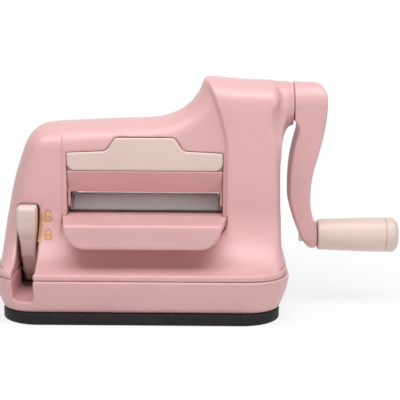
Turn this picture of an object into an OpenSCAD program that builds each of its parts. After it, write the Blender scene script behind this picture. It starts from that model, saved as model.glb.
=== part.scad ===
// Hand-cranked die cutting machine for paper crafts: two rollers in a moulded
// housing, a gear train in the tower, fold-down feed trays on both sides and a
// suction foot worked by a lock lever.
// X runs along the machine to the crank, the lever side is -X, the front is -Y.

/* [Body] */
// Width of the body at the seam above the foot
body_w = 158; // [150:1:200]
// Depth of the foot at the seam
body_d = 112; // [100:1:150]
// Thickness of the upright upper body, front to back
upright_t = 54; // [52:1:70]
// Height of the bridge over the rollers
bridge_z = 102.5; // [100:0.5:125]
// Height of the seam between foot and upper body
seam_z = 24.5; // [24:0.5:32]
// Wall of the moulded housings
wall = 2.4; // [2:0.1:3]
// Height of the concave sweep above the seam
sweep_h = 32; // [26:1:36]
// Radius of the pillowed edge all round the upper body
edge_round = 13; // [10:0.5:16]
// Radius of the tower's edge along its right wall
side_round = 5; // [3:0.5:13]
// How far the bridge lies behind the cheek and the tower
bridge_recess = 2.2; // [0:0.1:3]

/* [Foot] */
// How far the pad lies inside the body at each end
pad_inset_x = 5; // [4:0.1:8]
// How far the pad lies inside the body at front and rear
pad_inset_y = 3; // [2:0.1:6]
// Thickness of the rubber pad
pad_h = 6.3; // [5:0.1:9]
// Corner radius of the pad
pad_r = 21; // [15:1:26]
// Thickness of the steel base plate
plate_t = 2.5; // [2:0.1:4]
// Diameter of the suction disc
disc_d = 76; // [60:1:86]

/* [Rollers] */
// Diameter of the roller sleeves
roller_d = 24; // [20:0.5:26]
// Length of the roller sleeves
roller_l = 83.6; // [70:0.2:90]
// Gap between the rollers, for the stack of plates and die
nip = 5; // [4:0.1:8]
// Diameter of the roller shafts
shaft_d = 8; // [6:0.5:10]
// Width of the window in the housing
window_w = 84.5; // [80:0.5:92]
// Middle of the window along X
window_x = 1.25; // [-4:0.25:4]

/* [Feed trays] */
// Height of the fixed shelf
shelf_z = 53.2; // [50:0.1:60]
// Thickness of the shelf
shelf_t = 13; // [10:0.5:16]
// How far the shelf reaches out from the middle
shelf_reach = 52; // [46:1:56]
// How far the shelf stands past the window on each side
shelf_wing = 2.1; // [1:0.1:3]
// Thickness of a folding tray
tray_t = 8.2; // [7:0.1:10]
// Height of the tray up to its shoulders
tray_h = 28.1; // [26:0.1:32]
// Height of the finger tab over the shoulders
tab_h = 7.2; // [4:0.1:8]
// Width of the finger tab at its top
tab_w = 30.4; // [20:0.1:40]
// Height of the plate that faces the tray
tray_plate_h = 10.5; // [8:0.1:14]

/* [Crank] */
// Height of the crank axis
crank_z = 112.3; // [110:0.1:130]
// Radius from the crank axis to the grip axis
crank_r = 73.8; // [60:0.1:80]
// Diameter of the crank hub
hub_d = 24.2; // [20:0.1:30]
// Length of the crank hub
hub_l = 18; // [14:0.5:22]
// Length of the grip with its end cap
grip_l = 45; // [36:0.5:60]
// Diameter of the grip at the arm
grip_d = 17; // [14:0.1:20]
// Diameter of the grip at its far end
grip_end_d = 19.2; // [15:0.1:24]
// Teeth of the gear on the crank shaft
crank_teeth = 14; // [12:1:16]
// Teeth of each roller gear
roller_teeth = 29; // [28:1:32]
// Face width of the gears
gear_w = 8; // [6:0.5:10]

/* [Lock lever] */
// Width of the lever head
lever_w = 10.4; // [9:0.1:13]
// Height of the lever's top above the table
lever_top_z = 59.7; // [54:0.1:66]
// Distance of the lever's middle from the left end of the body
lever_inset = 18; // [16:0.5:22]
// Side clearance of the lever in its slot
slot_gap = 0.5; // [0.5:0.1:1.2]
// Lift of the suction disc when the lever is down
suction_lift = 2.5; // [1.5:0.1:3]

/* [Clearances] */
// Radial clearance of a shaft in its bush
running_fit = 0.04; // [0.02:0.01:0.08]
// Gap between a moving piece and the housing beside it
side_gap = 0.4; // [0.3:0.05:0.6]
// Gap between two fixed mouldings that meet
joint_gap = 0.15; // [0.1:0.05:0.3]

/* [Hidden] */
$fn = 64;
PINK = [0.89, 0.69, 0.69];
CREAM = [0.93, 0.86, 0.81];
RUBBER = [0.14, 0.11, 0.12];
STEEL = [0.72, 0.73, 0.75];
BRONZE = [0.72, 0.56, 0.34];
NYLON = [0.90, 0.90, 0.88];
ROLLER = [0.97, 0.95, 0.94];

half_w = body_w / 2;
half_d = body_d / 2;
pad_w = body_w - 2 * pad_inset_x;
pad_d = body_d - 2 * pad_inset_y;
upright = upright_t / 2;
tower_z = crank_z + hub_d / 2;
seam_gap = 0.4;
lip_h = 3;
wall_right = half_w - 4;

// Frames and shafts along X
win_l = window_x - window_w / 2;
win_r = window_x + window_w / 2;
frame_t = 3.5;
liner = 2.2;
liner_lift = 8;
frame_l = win_l - liner - 0.6 - frame_t;
frame_r = win_r + liner + 0.6;
gear_x = frame_r + frame_t + 1.6;
gear_frame_x = gear_x + gear_w + 1.6;
hub_x = half_w + 3;
plate_z = pad_h + plate_t;

// Heights of the roller line
roller_r = roller_d / 2;
feed_z = shelf_z + 0.3 + tray_t;
lower_z = feed_z - 0.2 - roller_r;
upper_z = lower_z + roller_d + nip;
gear_m = (roller_d + nip) / roller_teeth;

// The idler stands beside the line of centres, so it bridges whatever height is left
crank_drop = crank_z - upper_z;
idler_teeth = ceil(crank_drop / gear_m + 5.7 - (crank_teeth + roller_teeth) / 2);
leg_a = gear_m * (crank_teeth + idler_teeth) / 2;
leg_b = gear_m * (idler_teeth + roller_teeth) / 2;
idler_down = (leg_a * leg_a - leg_b * leg_b + crank_drop * crank_drop) / (2 * crank_drop);
idler_y = sqrt(leg_a * leg_a - idler_down * idler_down);
idler_z = crank_z - idler_down;
axle_d = 5;
bush_wall = 2;
press_fit = 0.02;

// Tray hinge: folded down, the tray lies on the shelf level with the lower roller
tray_out = 24.4;
tray_in = tray_out - tray_t;
hinge_y = 18;
hinge_z = shelf_z + 0.3 + (tray_out - hinge_y);
tray_z0 = hinge_z + 5.2;
tray_z1 = hinge_z + tray_h;
tray_z2 = tray_z1 + tab_h;
shoulder_drop = 1;
tab_flank = 6;
plate_z0 = tray_z1 - tray_plate_h;
ear_r = 3;
ear_t = 1.2;
pin_r = 1.6;
tray_l = win_l + side_gap;
tray_r = win_r - side_gap;

// Lever, its shaft and the cam that lifts the suction stud
lever_x = lever_inset - half_w;
slot_w = lever_w + 2 * slot_gap;
slot_z0 = pad_h + 6;
pivot_y = -9;
pivot_z = 20;
cam_e = suction_lift / (2 * sin(21));
cam_r = cam_e + 2.6;
cam_w = 8;
cam_rest = -21;
well = 1.6;
stud_r = 4;
lever_shaft_r = 3;
bracket_t = 3;

// The disc lies on the table and rises into a recess, under a web of the pad
pad_web = 1.2;
rise_gap = 0.4;
disc_top = pad_h - pad_web - rise_gap - suction_lift;

// Screws that hold the two upper housings together, as [x, z]
SCREW_SPOTS = [[lever_x + 4, 80], [5 - half_w + 2.4, 38], [wall_right - 5.6, 40],
               [wall_right - 5.6, 97], [39, crank_z + 1]];
screw_r = 1.5;
boss_r = 2.9;

// ---- small helpers -------------------------------------------------------

function arc(cx, cy, r, a0, a1, n) =
    [for (i = [0:n]) let (a = a0 + (a1 - a0) * i / n) [cx + r * cos(a), cy + r * sin(a)]];

function catmull(a, b, c, d, t) =
    0.5 * (2 * b + (c - a) * t + (2 * a - 5 * b + 4 * c - d) * t * t
        + (3 * b - a - 3 * c + d) * t * t * t);

// Smooth run through points, n steps to a span
function smooth_run(p, n) = let (m = len(p) - 1) concat(
    [for (i = [0:m - 1]) for (k = [0:n - 1])
        catmull(p[max(i - 1, 0)], p[i], p[i + 1], p[min(i + 2, m)], k / n)], [p[m]]);

function ease(u) = u <= 0 ? 0 : u >= 1 ? 1 : u * u * (3 - 2 * u);

// A cylinder along X from x0 to x1
module rod(x0, x1, r, y = 0, z = 0) {
    translate([x0, y, z]) rotate([0, 90, 0]) cylinder(h = x1 - x0, r = r);
}

// A YZ outline extruded along X
module slab(x0, x1) {
    translate([x0, 0, 0]) rotate([90, 0, 90]) linear_extrude(height = x1 - x0) children();
}

// An XZ outline extruded along Y from y0 to y1
module front_prism(y0, y1) {
    translate([0, y1, 0]) rotate([90, 0, 0]) linear_extrude(height = y1 - y0) children();
}

module rounded_rect(w, d, r) {
    square([w - 2 * r, d], center = true);
    square([w, d - 2 * r], center = true);
    for (sx = [-1, 1]) for (sy = [-1, 1])
        translate([sx * (w / 2 - r), sy * (d / 2 - r)]) circle(r);
}

// ---- upper housing -------------------------------------------------------

// Crest of the body seen from the front: shoulder, bridge, sweep up to the tower, right wall
shoulder = bridge_z - seam_z;
rise = tower_z - bridge_z;
CREST = smooth_run([
    [-half_w + 0.2, seam_z + 1], [-half_w + 0.9, seam_z + 7], [-half_w + 2.0, seam_z + 16],
    [-half_w + 4.8, seam_z + 32], [-half_w + 7.7, seam_z + 0.59 * shoulder],
    [-half_w + 10.4, seam_z + 0.705 * shoulder], [-half_w + 12.6, seam_z + 0.79 * shoulder],
    [-half_w + 15.2, seam_z + 0.872 * shoulder], [-half_w + 18.7, seam_z + 0.93 * shoulder],
    [-half_w + 23.5, bridge_z - 2.5], [-half_w + 32, bridge_z - 1.2], [win_l + 14, bridge_z],
    [win_l + 32, bridge_z + 0.8], [win_l + 46, bridge_z + 1.4], [win_l + 54, bridge_z + 2.9],
    [win_l + 61.5, bridge_z + 6.2], [win_l + 66.5, bridge_z + 0.46 * rise],
    [win_l + 70, bridge_z + 0.66 * rise], [win_l + 72.3, bridge_z + 0.85 * rise],
    [win_l + 74, tower_z + 1.0], [win_l + 77, tower_z + 2.4], [win_l + 84, tower_z + 1.9],
    [win_l + 96, tower_z + 1.0], [wall_right - 6, tower_z + 0.3], [wall_right - 2, tower_z - 1.2],
    [wall_right - 0.5, tower_z - 5], [wall_right - 0.2, crank_z - 2], [wall_right, 88],
    [wall_right + 0.4, 60], [wall_right + 1.2, seam_z + 22], [wall_right + 2.2, seam_z + 11],
    [half_w - 0.6, seam_z + 5], [half_w - 0.2, seam_z + 1]], 2);

// Where the tower's proud face begins, further left the higher it is
function tower_edge(z) = win_r - 8.6 * pow(max(0, (z - bridge_z + 14.5) / (rise + 14.5)), 1.7);

// Half thickness of the upright: the bridge lies a little behind its neighbours
function half_thick(x, z) = upright - 0.035 * (z - shelf_z)
    - bridge_recess * ease((x - win_l + 3.2) / 2.4) * ease((tower_edge(z) + 1.2 - x) / 2.4);

// Plan of the foot at the seam
function plan_depth(x) = let (r = pad_r + 3, u = abs(x) - (half_w - r))
    half_d - r + sqrt(max(0, r * r - (u > 0 ? u * u : 0)));

// Distance from p to the stretch between a and b
function span(p, a, b) = let (d = b - a, t = max(0, min(1, ((p - a) * d) / (d * d))))
    norm(p - a - t * d);
// The wall side of the crest starts where the tower's top bends down
wall_start = len([for (c = CREST) if (c[0] <= wall_right - 2) c]) - 1;
function run_dist(p, a, b) = min([for (i = [a:b]) span(p, CREST[i], CREST[i + 1])]);
function nearness(d, r) = pow(max(0, 1 - d / r), 2.5);
function pillow(p) = pow(max(0, 1 - nearness(run_dist(p, 0, wall_start - 1), edge_round)
    - nearness(run_dist(p, wall_start, len(CREST) - 2), side_round)), 0.4);

// Depth of the outer surface in front of the middle plane
function skin(x, z) = let (
    top = lookup(x, CREST),
    face = z >= top ? 0 : half_thick(x, z) * pillow([x, z]),
    lip = min(lip_h, 0.5 * (top - seam_z)),
    s = (z - seam_z - lip) / (sweep_h - lip))
    s <= 0 ? plan_depth(x) - 0.7 * ease(1 + s * lip / 1.2)
    : s >= 1 ? face
    : face + (plan_depth(x) - 0.7 - face) * (1 - sqrt(1 - (1 - s) * (1 - s)));

// Inner surface: one wall in from the front and one wall down from the ledge
function lining(x, z) = max(1, min(skin(x, z) - wall, skin(x, z + wall) - 0.3));
function crest_at(x) = lookup(x, CREST);
function lining_top(x) = min(crest_at(x - wall), crest_at(x + wall)) - wall;

// Heights of the rings as shares of the crest, closest where the skin bends most
ROWS = [0, 0.022, 0.038, 0.06, 0.09, 0.13, 0.18, 0.24, 0.31, 0.4,
        0.5, 0.6, 0.69, 0.77, 0.84, 0.9, 0.945, 0.98];
INNER_ROWS = [0, 0.04, 0.08, 0.14, 0.21, 0.3, 0.42, 0.6, 0.78, 0.88, 0.94, 1];
INNER_X = [for (i = [2:2:len(CREST) - 3])
    let (x = CREST[i][0], inward = x < 0 ? wall : x > win_l + 80 ? -wall : 0, most = half_w - wall - 0.6)
    max(-most, min(most, x + inward))];

// Closed skin through equal rings of points, one ring to a station
module lofted(rings) {
    n = len(rings);
    m = len(rings[0]);
    polyhedron(points = [for (r = rings) each r], faces = concat(
        [[for (j = [m - 1:-1:0]) j]],
        [for (i = [0:n - 2]) for (j = [0:m - 1]) let (k = (j + 1) % m)
            each [[i * m + j, (i + 1) * m + k, (i + 1) * m + j],
                  [i * m + j, i * m + k, (i + 1) * m + k]]],
        [[for (j = [0:m - 1]) (n - 1) * m + j]]));
}

module front_skin() {
    lofted([for (c = CREST) concat([[c[0], 0, seam_z]],
        [for (f = ROWS) let (z = seam_z + f * (c[1] - seam_z)) [c[0], -max(skin(c[0], z), 0.05), z]],
        [[c[0], 0, c[1]]])]);
}

module front_cavity() {
    lofted([for (x = INNER_X) let (t = lining_top(x)) concat(
        [[x, 1, seam_z - 1], [x, -lining(x, seam_z), seam_z - 1]],
        [for (f = INNER_ROWS) let (z = seam_z + f * (t - seam_z)) [x, -lining(x, z), z]],
        [[x, 1, t]])]);
}

// The window: over the shelf and up round the closed tray with its finger tab
module tray_outline(grow, bottom, left, right) {
    mid = (left + right) / 2;
    end_z = tray_z1 - shoulder_drop + grow;
    polygon(concat([[left - grow, bottom], [right + grow, bottom], [right + grow, end_z]],
        [for (i = [0:8]) let (u = i / 8)
            [mid + tab_w / 2 + tab_flank * (1 - u) + grow, tray_z1 + grow + tab_h * ease(u)]],
        [for (i = [0:8]) let (u = i / 8)
            [mid - tab_w / 2 - tab_flank * u - grow, tray_z2 + grow - tab_h * ease(u)]],
        [[left - grow, end_z]]));
}

// Front outline of the shelf: straight along the top, well rounded below
module shelf_outline(x0, x1, inset = 0) {
    low = shelf_z - shelf_t + inset;
    high = shelf_z - inset;
    r = high - low - 1;
    polygon(concat([[x1 - inset, high], [x0 + inset, high]],
        arc(x0 + inset + r, low + r, r, 180, 270, 10),
        arc(x1 - inset - r, low + r, r, 270, 360, 10)));
}

// Swept foot of the crank hub on the tower, cut to the tower's arched side view
module hub_horn() {
    x0 = wall_right - 0.5;
    x1 = hub_x - 0.4;
    r1 = hub_d / 2;
    r0 = r1 + 14;
    root = wall - 0.5;
    intersection() {
        translate([0, 0, crank_z]) rotate([0, 90, 0]) translate([0, 0, x0]) rotate_extrude()
            polygon(concat([[0, -root], [0, x1 - x0], [r1, x1 - x0]],
                [for (i = [1:10]) let (a = 9 * i)
                    [r1 + (r0 - r1) * (1 - cos(a)), (x1 - x0) * (1 - sin(a))]], [[r0, -root]]));
        slab(x0 - wall, x1 + 1) polygon(concat(arc(0, crank_z, r1, 20, 160, 16),
            [[-r1 - 6, crank_z - 20], [-r1 - 5, crank_z - 32],
             [r1 + 5, crank_z - 32], [r1 + 6, crank_z - 20]]));
    }
}

// Slot that the lever swings out of, in both housings
module lever_slot(z0, z1) {
    x0 = lever_x - slot_w / 2;
    x1 = lever_x + slot_w / 2;
    r = 2;
    front_prism(-half_d - 2, pivot_y + 3) polygon(concat([[x0, z0], [x1, z0]],
        arc(x1 - r, z1 - r, r, 0, 90, 6), arc(x0 + r, z1 - r, r, 90, 180, 6)));
}

// What stands inside the upper housing: liners beside the window, screw bosses, lever well
module inner_walls(rear) {
    for (x = [win_l - liner, win_r])
        translate([x, -half_d, seam_z + liner_lift])
            cube([liner, half_d - 0.1, tray_z1 - seam_z - liner_lift]);
    for (s = SCREW_SPOTS) translate([s[0], -0.1, s[1]]) rotate([90, 0, 0])
        cylinder(h = half_d, r = boss_r);
    if (!rear) for (x = [lever_x - slot_w / 2 - well, lever_x + slot_w / 2])
        translate([x, -half_d, seam_z - 2])
            cube([well, half_d + pivot_y - 6, lever_top_z - seam_z + 4]);
}

// Half of the upper body, front side; the rear half is its mirror image
module upper_half(rear) {
    difference() {
        union() {
            difference() {
                front_skin();
                difference() {
                    front_cavity();
                    inner_walls(rear);
                }
            }
            difference() {
                hub_horn();
                translate([wall_right - 8, -0.1, 0]) cube([40, half_d, 200]);
            }
        }
        front_prism(-half_d, 1) tray_outline(joint_gap + side_gap, shelf_z - 4, tray_l, tray_r);
        front_prism(-half_d, 1) shelf_outline(win_l - shelf_wing, win_r + shelf_wing, -joint_gap);
        // Roller sleeves and tray pins pass the liners
        for (z = [lower_z, upper_z])
            rod(win_l - liner - 1, win_r + liner + 1, roller_r + side_gap, 0, z);
        rod(win_l - liner - 1, win_r + liner + 1, pin_r + running_fit, -hinge_y, hinge_z);
        rod(wall_right - 9, hub_x + 1, shaft_d / 2 + side_gap, 0, crank_z);
        for (s = SCREW_SPOTS) translate([s[0], 1, s[1]]) rotate([90, 0, 0]) {
            if (rear) {
                cylinder(h = half_d, r = screw_r + 0.2);
                translate([0, 0, lining(s[0], s[1]) + 0.2]) cylinder(h = half_d, r = boss_r - 0.2);
            } else {
                cylinder(h = lining(s[0], s[1]) - 1, r = screw_r + press_fit);
            }
        }
        if (!rear) lever_slot(seam_z - 2, lever_top_z - 0.5);
    }
}

module upper_housing_front() {
    color(PINK) upper_half(false);
}

module upper_housing_rear() {
    color(PINK) mirror([0, 1, 0]) upper_half(true);
}

// Screws from the rear, heads sunk in the rear housing
module housing_screw(s) {
    deep = lining(s[0], s[1]);
    color(STEEL) translate([s[0], deep + 0.2, s[1]]) rotate([-90, 0, 0]) {
        difference() {
            cylinder(h = 1.8, r = boss_r - 0.4);
            translate([-0.4, -1.6, 1]) cube([0.8, 3.2, 1]);
            translate([-1.6, -0.4, 1]) cube([3.2, 0.8, 1]);
        }
        translate([0, 0, -deep - 8]) cylinder(h = deep + 8.5, r = screw_r);
    }
}

// Soft strip along the inner edge of the shelf, which keeps scraps away from the roller
strip_t = 1.5;
strip_up = 1.2;
strip_seat = 1;
shelf_in = -roller_r - 1;

module dust_strip() {
    color(RUBBER) translate([tray_l, shelf_in - strip_t, shelf_z - strip_seat])
        cube([tray_r - tray_l, strip_t, strip_seat + strip_up]);
}

module dust_strip_front() { dust_strip(); }
module dust_strip_rear() { mirror([0, 1, 0]) dust_strip(); }

// Fixed shelf in front of the rollers, a hollow box with ribs, open towards the rollers
module shelf() {
    color(PINK) union() {
        difference() {
            union() {
                front_prism(-shelf_reach, 1.2 - upright)
                    shelf_outline(win_l - shelf_wing, win_r + shelf_wing);
                front_prism(1 - upright, shelf_in)
                    shelf_outline(win_l + joint_gap, win_r - joint_gap);
            }
            front_prism(wall - shelf_reach, -roller_r) shelf_outline(win_l, win_r, wall);
            translate([win_l, shelf_in - strip_t, shelf_z - strip_seat])
                cube([window_w, strip_t + 1, strip_seat + 1]);
        }
        for (i = [-1:1]) translate([window_x + 21 * i - 0.8, 1 - shelf_reach, shelf_z - shelf_t + 1])
            cube([1.6, shelf_reach - roller_r - 5, shelf_t - 2]);
    }
}

module shelf_front() { shelf(); }
module shelf_rear() { mirror([0, 1, 0]) shelf(); }

// ---- foot ----------------------------------------------------------------

// Points round a rounded rectangle at height z
function round_ring(hx, hy, r, z) = [for (q = [0:3]) for (i = [0:8])
    let (a = 90 * q + 90 * i / 8, sx = q == 0 || q == 3 ? 1 : -1, sy = q < 2 ? 1 : -1)
    [sx * (hx - r) + r * cos(a), sy * (hy - r) + r * sin(a), z]];

// Skirt flank: full at the seam, drawn in towards the pad
function tuck(u) = 5.2 * pow(1 - u, 1.6);

// The housing's flange stands on the pad round the steel plate
flange = 7;
plate_inset = flange + 0.5;
post_inset = 17;
post_r = 4;

module skirt_block(inset, z0, z1) {
    lofted([for (i = [5:-1:0]) let (u = i / 5, t = tuck(u) + inset)
        round_ring(half_w - t, half_d - t, pad_r + 3 - t, z0 + u * (z1 - z0))]);
}

// Posts in the four corners
module at_posts(z) {
    for (sx = [-1, 1]) for (sy = [-1, 1])
        translate([sx * (half_w - post_inset), sy * (half_d - post_inset), z]) children();
}

module lower_housing() {
    color(PINK) difference() {
        union() {
            difference() {
                skirt_block(0, pad_h, seam_z - seam_gap);
                translate([0, 0, wall]) skirt_block(wall, pad_h, seam_z + 3);
                translate([0, 0, pad_h - 1]) linear_extrude(height = 10)
                    rounded_rect(pad_w - 2 * flange, pad_d - 2 * flange, pad_r - flange);
            }
            // Lever well: two walls and a floor
            intersection() {
                skirt_block(0.6, pad_h, seam_z - seam_gap);
                union() {
                    for (x = [lever_x - slot_w / 2 - well, lever_x + slot_w / 2])
                        translate([x, -half_d, plate_z + joint_gap]) cube([well, half_d - 18, seam_z]);
                    translate([lever_x - slot_w / 2 - well, -half_d, slot_z0 - well])
                        cube([slot_w + 2 * well, half_d + pivot_y + 3, well]);
                }
            }
            // Posts carry the upper housings over the plate
            at_posts(pad_h) cylinder(h = seam_z - seam_gap - pad_h - 4, r = post_r);
        }
        lever_slot(slot_z0, seam_z + 5);
        at_posts(pad_h - 1) cylinder(h = 12, r = screw_r);
    }
}

module base_pad() {
    color(RUBBER) difference() {
        linear_extrude(height = pad_h) rounded_rect(pad_w, pad_d, pad_r);
        translate([0, 0, -1]) cylinder(h = pad_h - pad_web + 1, r = disc_d / 2 + 1);
        translate([0, 0, -1]) cylinder(h = pad_h + 2, r = stud_r + 1.5);
    }
}

module base_plate() {
    color(STEEL) difference() {
        translate([0, 0, pad_h]) linear_extrude(height = plate_t)
            rounded_rect(pad_w - 2 * plate_inset, pad_d - 2 * plate_inset, pad_r - plate_inset);
        translate([0, 0, pad_h - 1]) cylinder(h = plate_t + 2, r = stud_r + running_fit);
        at_posts(pad_h - 1) cylinder(h = plate_t + 2, r = post_r + 0.4);
    }
}

// ---- frames --------------------------------------------------------------

// Side view of the roller frames
module frame_outline() {
    hull() {
        for (s = [-1, 1]) translate([s * 17, plate_z + 3]) circle(r = 3, $fn = 32);
        for (s = [-1, 1]) translate([s * 7, upper_z + roller_r + 1.5]) circle(r = 5, $fn = 32);
    }
}

// Side view of the frames that also carry the crank
module tower_outline() {
    hull() {
        for (s = [-1, 1]) translate([s * 17, plate_z + 3]) circle(r = 3, $fn = 32);
        for (s = [-1, 1]) translate([s * 12, idler_z]) circle(r = 4.5, $fn = 32);
        translate([0, crank_z]) circle(r = 8.8, $fn = 32);
    }
}

// Tie rods and posts, as [y, z]
RODS = [[14, plate_z + 6], [-14, plate_z + 19], [0, upper_z + roller_r + 3.4]];
rod_r = 2.2;

module frame_cuts(x0, x1) {
    for (z = [lower_z, upper_z]) rod(x0, x1, shaft_d / 2 + bush_wall, 0, z);
    for (p = RODS) rod(x0, x1, rod_r, p[0], p[1]);
    rod(x0, x1, lever_shaft_r + running_fit, pivot_y, pivot_z);
}

module side_frame_left() {
    color(STEEL) difference() {
        slab(frame_l, frame_l + frame_t) frame_outline();
        frame_cuts(frame_l - 1, frame_l + frame_t + 1);
    }
}

module side_frame_right() {
    color(STEEL) difference() {
        slab(frame_r, frame_r + frame_t) tower_outline();
        frame_cuts(frame_r - 1, frame_r + frame_t + 1);
        rod(frame_r - 1, frame_r + frame_t + 1, shaft_d / 2 + bush_wall, 0, crank_z);
        rod(frame_r - 1, frame_r + frame_t + 1, axle_d / 2, idler_y, idler_z);
    }
}

module gear_frame() {
    x0 = gear_frame_x - 1;
    x1 = gear_frame_x + frame_t + 1;
    color(STEEL) difference() {
        slab(gear_frame_x, gear_frame_x + frame_t) tower_outline();
        for (z = [lower_z, upper_z, crank_z]) rod(x0, x1, shaft_d / 2 + bush_wall, 0, z);
        for (i = [0:1]) rod(x0, x1, rod_r, RODS[i][0], RODS[i][1]);
        rod(x0, x1, axle_d / 2, idler_y, idler_z);
    }
}

module tie_rod(i) {
    far = i < 2 ? gear_frame_x + frame_t : frame_r + frame_t;
    y = RODS[i][0];
    z = RODS[i][1];
    color(STEEL) union() {
        rod(frame_l, far, rod_r - press_fit, y, z);
        rod(frame_l + frame_t + 0.05, frame_r - 0.05, rod_r + 0.6, y, z);
        if (i < 2) rod(frame_r + frame_t + 0.05, gear_frame_x - 0.05, rod_r + 0.6, y, z);
    }
}

module bush(x, z) {
    color(BRONZE) difference() {
        rod(x, x + frame_t, shaft_d / 2 + bush_wall - press_fit, 0, z);
        rod(x - 1, x + frame_t + 1, shaft_d / 2 + running_fit, 0, z);
    }
}

// ---- rollers and gears ---------------------------------------------------

// Sleeve with a chamfered collar set off by a groove at each end
collar_l = 1.1;
groove_l = 0.7;
groove_deep = 1.6;
sleeve_chamfer = 0.5;

module roller_sleeve(z) {
    half = roller_l / 2;
    bore = shaft_d / 2 + press_fit;
    rim = [[half, roller_r - sleeve_chamfer], [half - sleeve_chamfer, roller_r],
        [half - collar_l, roller_r], [half - collar_l, roller_r - groove_deep],
        [half - collar_l - groove_l, roller_r - groove_deep],
        [half - collar_l - groove_l, roller_r]];
    color(ROLLER) translate([window_x, 0, z]) rotate([0, 90, 0]) rotate_extrude() polygon(concat(
        [[bore, -half], [bore, half]], [for (p = rim) [p[1], p[0]]],
        [for (i = [len(rim) - 1:-1:0]) [rim[i][1], -rim[i][0]]]));
}

module roller_shaft(z) {
    color(STEEL) rod(frame_l - 2, gear_frame_x + frame_t, shaft_d / 2, 0, z);
}

function involute(rb, t) = let (roll = t * PI / 180)
    [rb * (cos(t) + roll * sin(t)), rb * (sin(t) - roll * cos(t))];

function polar(r, a) = [r * cos(a), r * sin(a)];

// Spur gear outline; backlash thins each tooth, turn sets where the first tooth points
module gear_outline(teeth, turn) {
    rp = gear_m * teeth / 2;
    rb = rp * cos(20);
    ra = rp + gear_m;
    rf = rp - 1.2 * gear_m;
    backlash = 0.24;
    half = 90 / teeth - backlash / rp * 90 / PI + tan(20) * 180 / PI - 20;
    t0 = rf > rb ? sqrt(rf * rf / (rb * rb) - 1) * 180 / PI : 0;
    t1 = sqrt(ra * ra / (rb * rb) - 1) * 180 / PI;
    flank = [for (i = [0:4]) let (t = t0 + (t1 - t0) * i / 4, p = involute(rb, t))
        [norm(p), atan2(p[1], p[0])]];
    polygon([for (k = [0:teeth - 1]) let (c = turn + k * 360 / teeth) each concat(
        [polar(rf, c - half)],
        [for (f = flank) polar(f[0], c - half + f[1])],
        [for (i = [4:-1:0]) polar(flank[i][0], c + half - flank[i][1])],
        [polar(rf, c + half)])]);
}

module gear(teeth, turn, y, z, bore, hub) {
    rp = gear_m * teeth / 2;
    difference() {
        union() {
            translate([0, y, z]) slab(gear_x, gear_x + gear_w) gear_outline(teeth, turn);
            if (hub > 0) rod(gear_x - 0.8, gear_x + gear_w + 0.8, hub, y, z);
        }
        rod(gear_x - 2, gear_x + gear_w + 2, bore, y, z);
        // Lightening rings in both faces of the large gears
        if (rp > 12) for (x = [gear_x - 1, gear_x + gear_w - 1.6])
            translate([0, y, z]) slab(x, x + 2.6) difference() {
                circle(r = rp - 3);
                circle(r = hub + 1.4);
            }
    }
}

// Turn of a follower so that its gap meets the driver's tooth across the line at angle way
function mesh_turn(lead_teeth, lead_turn, teeth, way) =
    let (phase = (way - lead_turn) * lead_teeth / 360)
    way + 180 - (0.5 - phase) * 360 / teeth;

idler_way = atan2(idler_z - crank_z, idler_y);
upper_way = atan2(upper_z - idler_z, -idler_y);
crank_turn = 90;
idler_turn = mesh_turn(crank_teeth, crank_turn, idler_teeth, idler_way);
upper_turn = mesh_turn(idler_teeth, idler_turn, roller_teeth, upper_way);
lower_turn = mesh_turn(roller_teeth, upper_turn, roller_teeth, -90);

module crank_gear() {
    color(STEEL) gear(crank_teeth, crank_turn, 0, crank_z, shaft_d / 2 + press_fit, 0);
}

module idler_gear() {
    color(NYLON) gear(idler_teeth, idler_turn, idler_y, idler_z, axle_d / 2 + running_fit, 4.6);
}

module upper_gear() {
    color(NYLON) gear(roller_teeth, upper_turn, 0, upper_z, shaft_d / 2 + press_fit, 7);
}

module lower_gear() {
    color(NYLON) gear(roller_teeth, lower_turn, 0, lower_z, shaft_d / 2 + press_fit, 7);
}

module idler_axle() {
    color(STEEL) rod(frame_r, gear_frame_x + frame_t, axle_d / 2 - 0.01, idler_y, idler_z);
}

// ---- crank ---------------------------------------------------------------

hub_end = hub_x + hub_l;
grip_z = crank_z - crank_r;
arm_end_x = hub_x + 14.2;
grip_x = arm_end_x + 0.7;
bolt_r = 2.5;
bolt_head_r = 4.1;
bolt_head_x = hub_x + 4.8;
bolt_seat_x = hub_x + 8.6;
arm_foot_r = 8.2;
boss_x = hub_x + 11;
grip_boss_r = 7.6;

// Seats in the hub's end: shaft, screw head, cap
shaft_seat = 5.5;
screw_seat = 3.6;
screw_head_r = 5;
cap_seat_r = 6.2;

crank_screw_r = 1.55;

module crank_shaft() {
    color(STEEL) difference() {
        union() {
            rod(frame_r, hub_end - shaft_seat - 0.5, shaft_d / 2, 0, crank_z);
            rod(gear_x + gear_w + 0.3, gear_frame_x - 0.3, shaft_d / 2 + 1.2, 0, crank_z);
        }
        rod(hub_end - 14, hub_end - shaft_seat, crank_screw_r + 0.05, 0, crank_z);
    }
}

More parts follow.
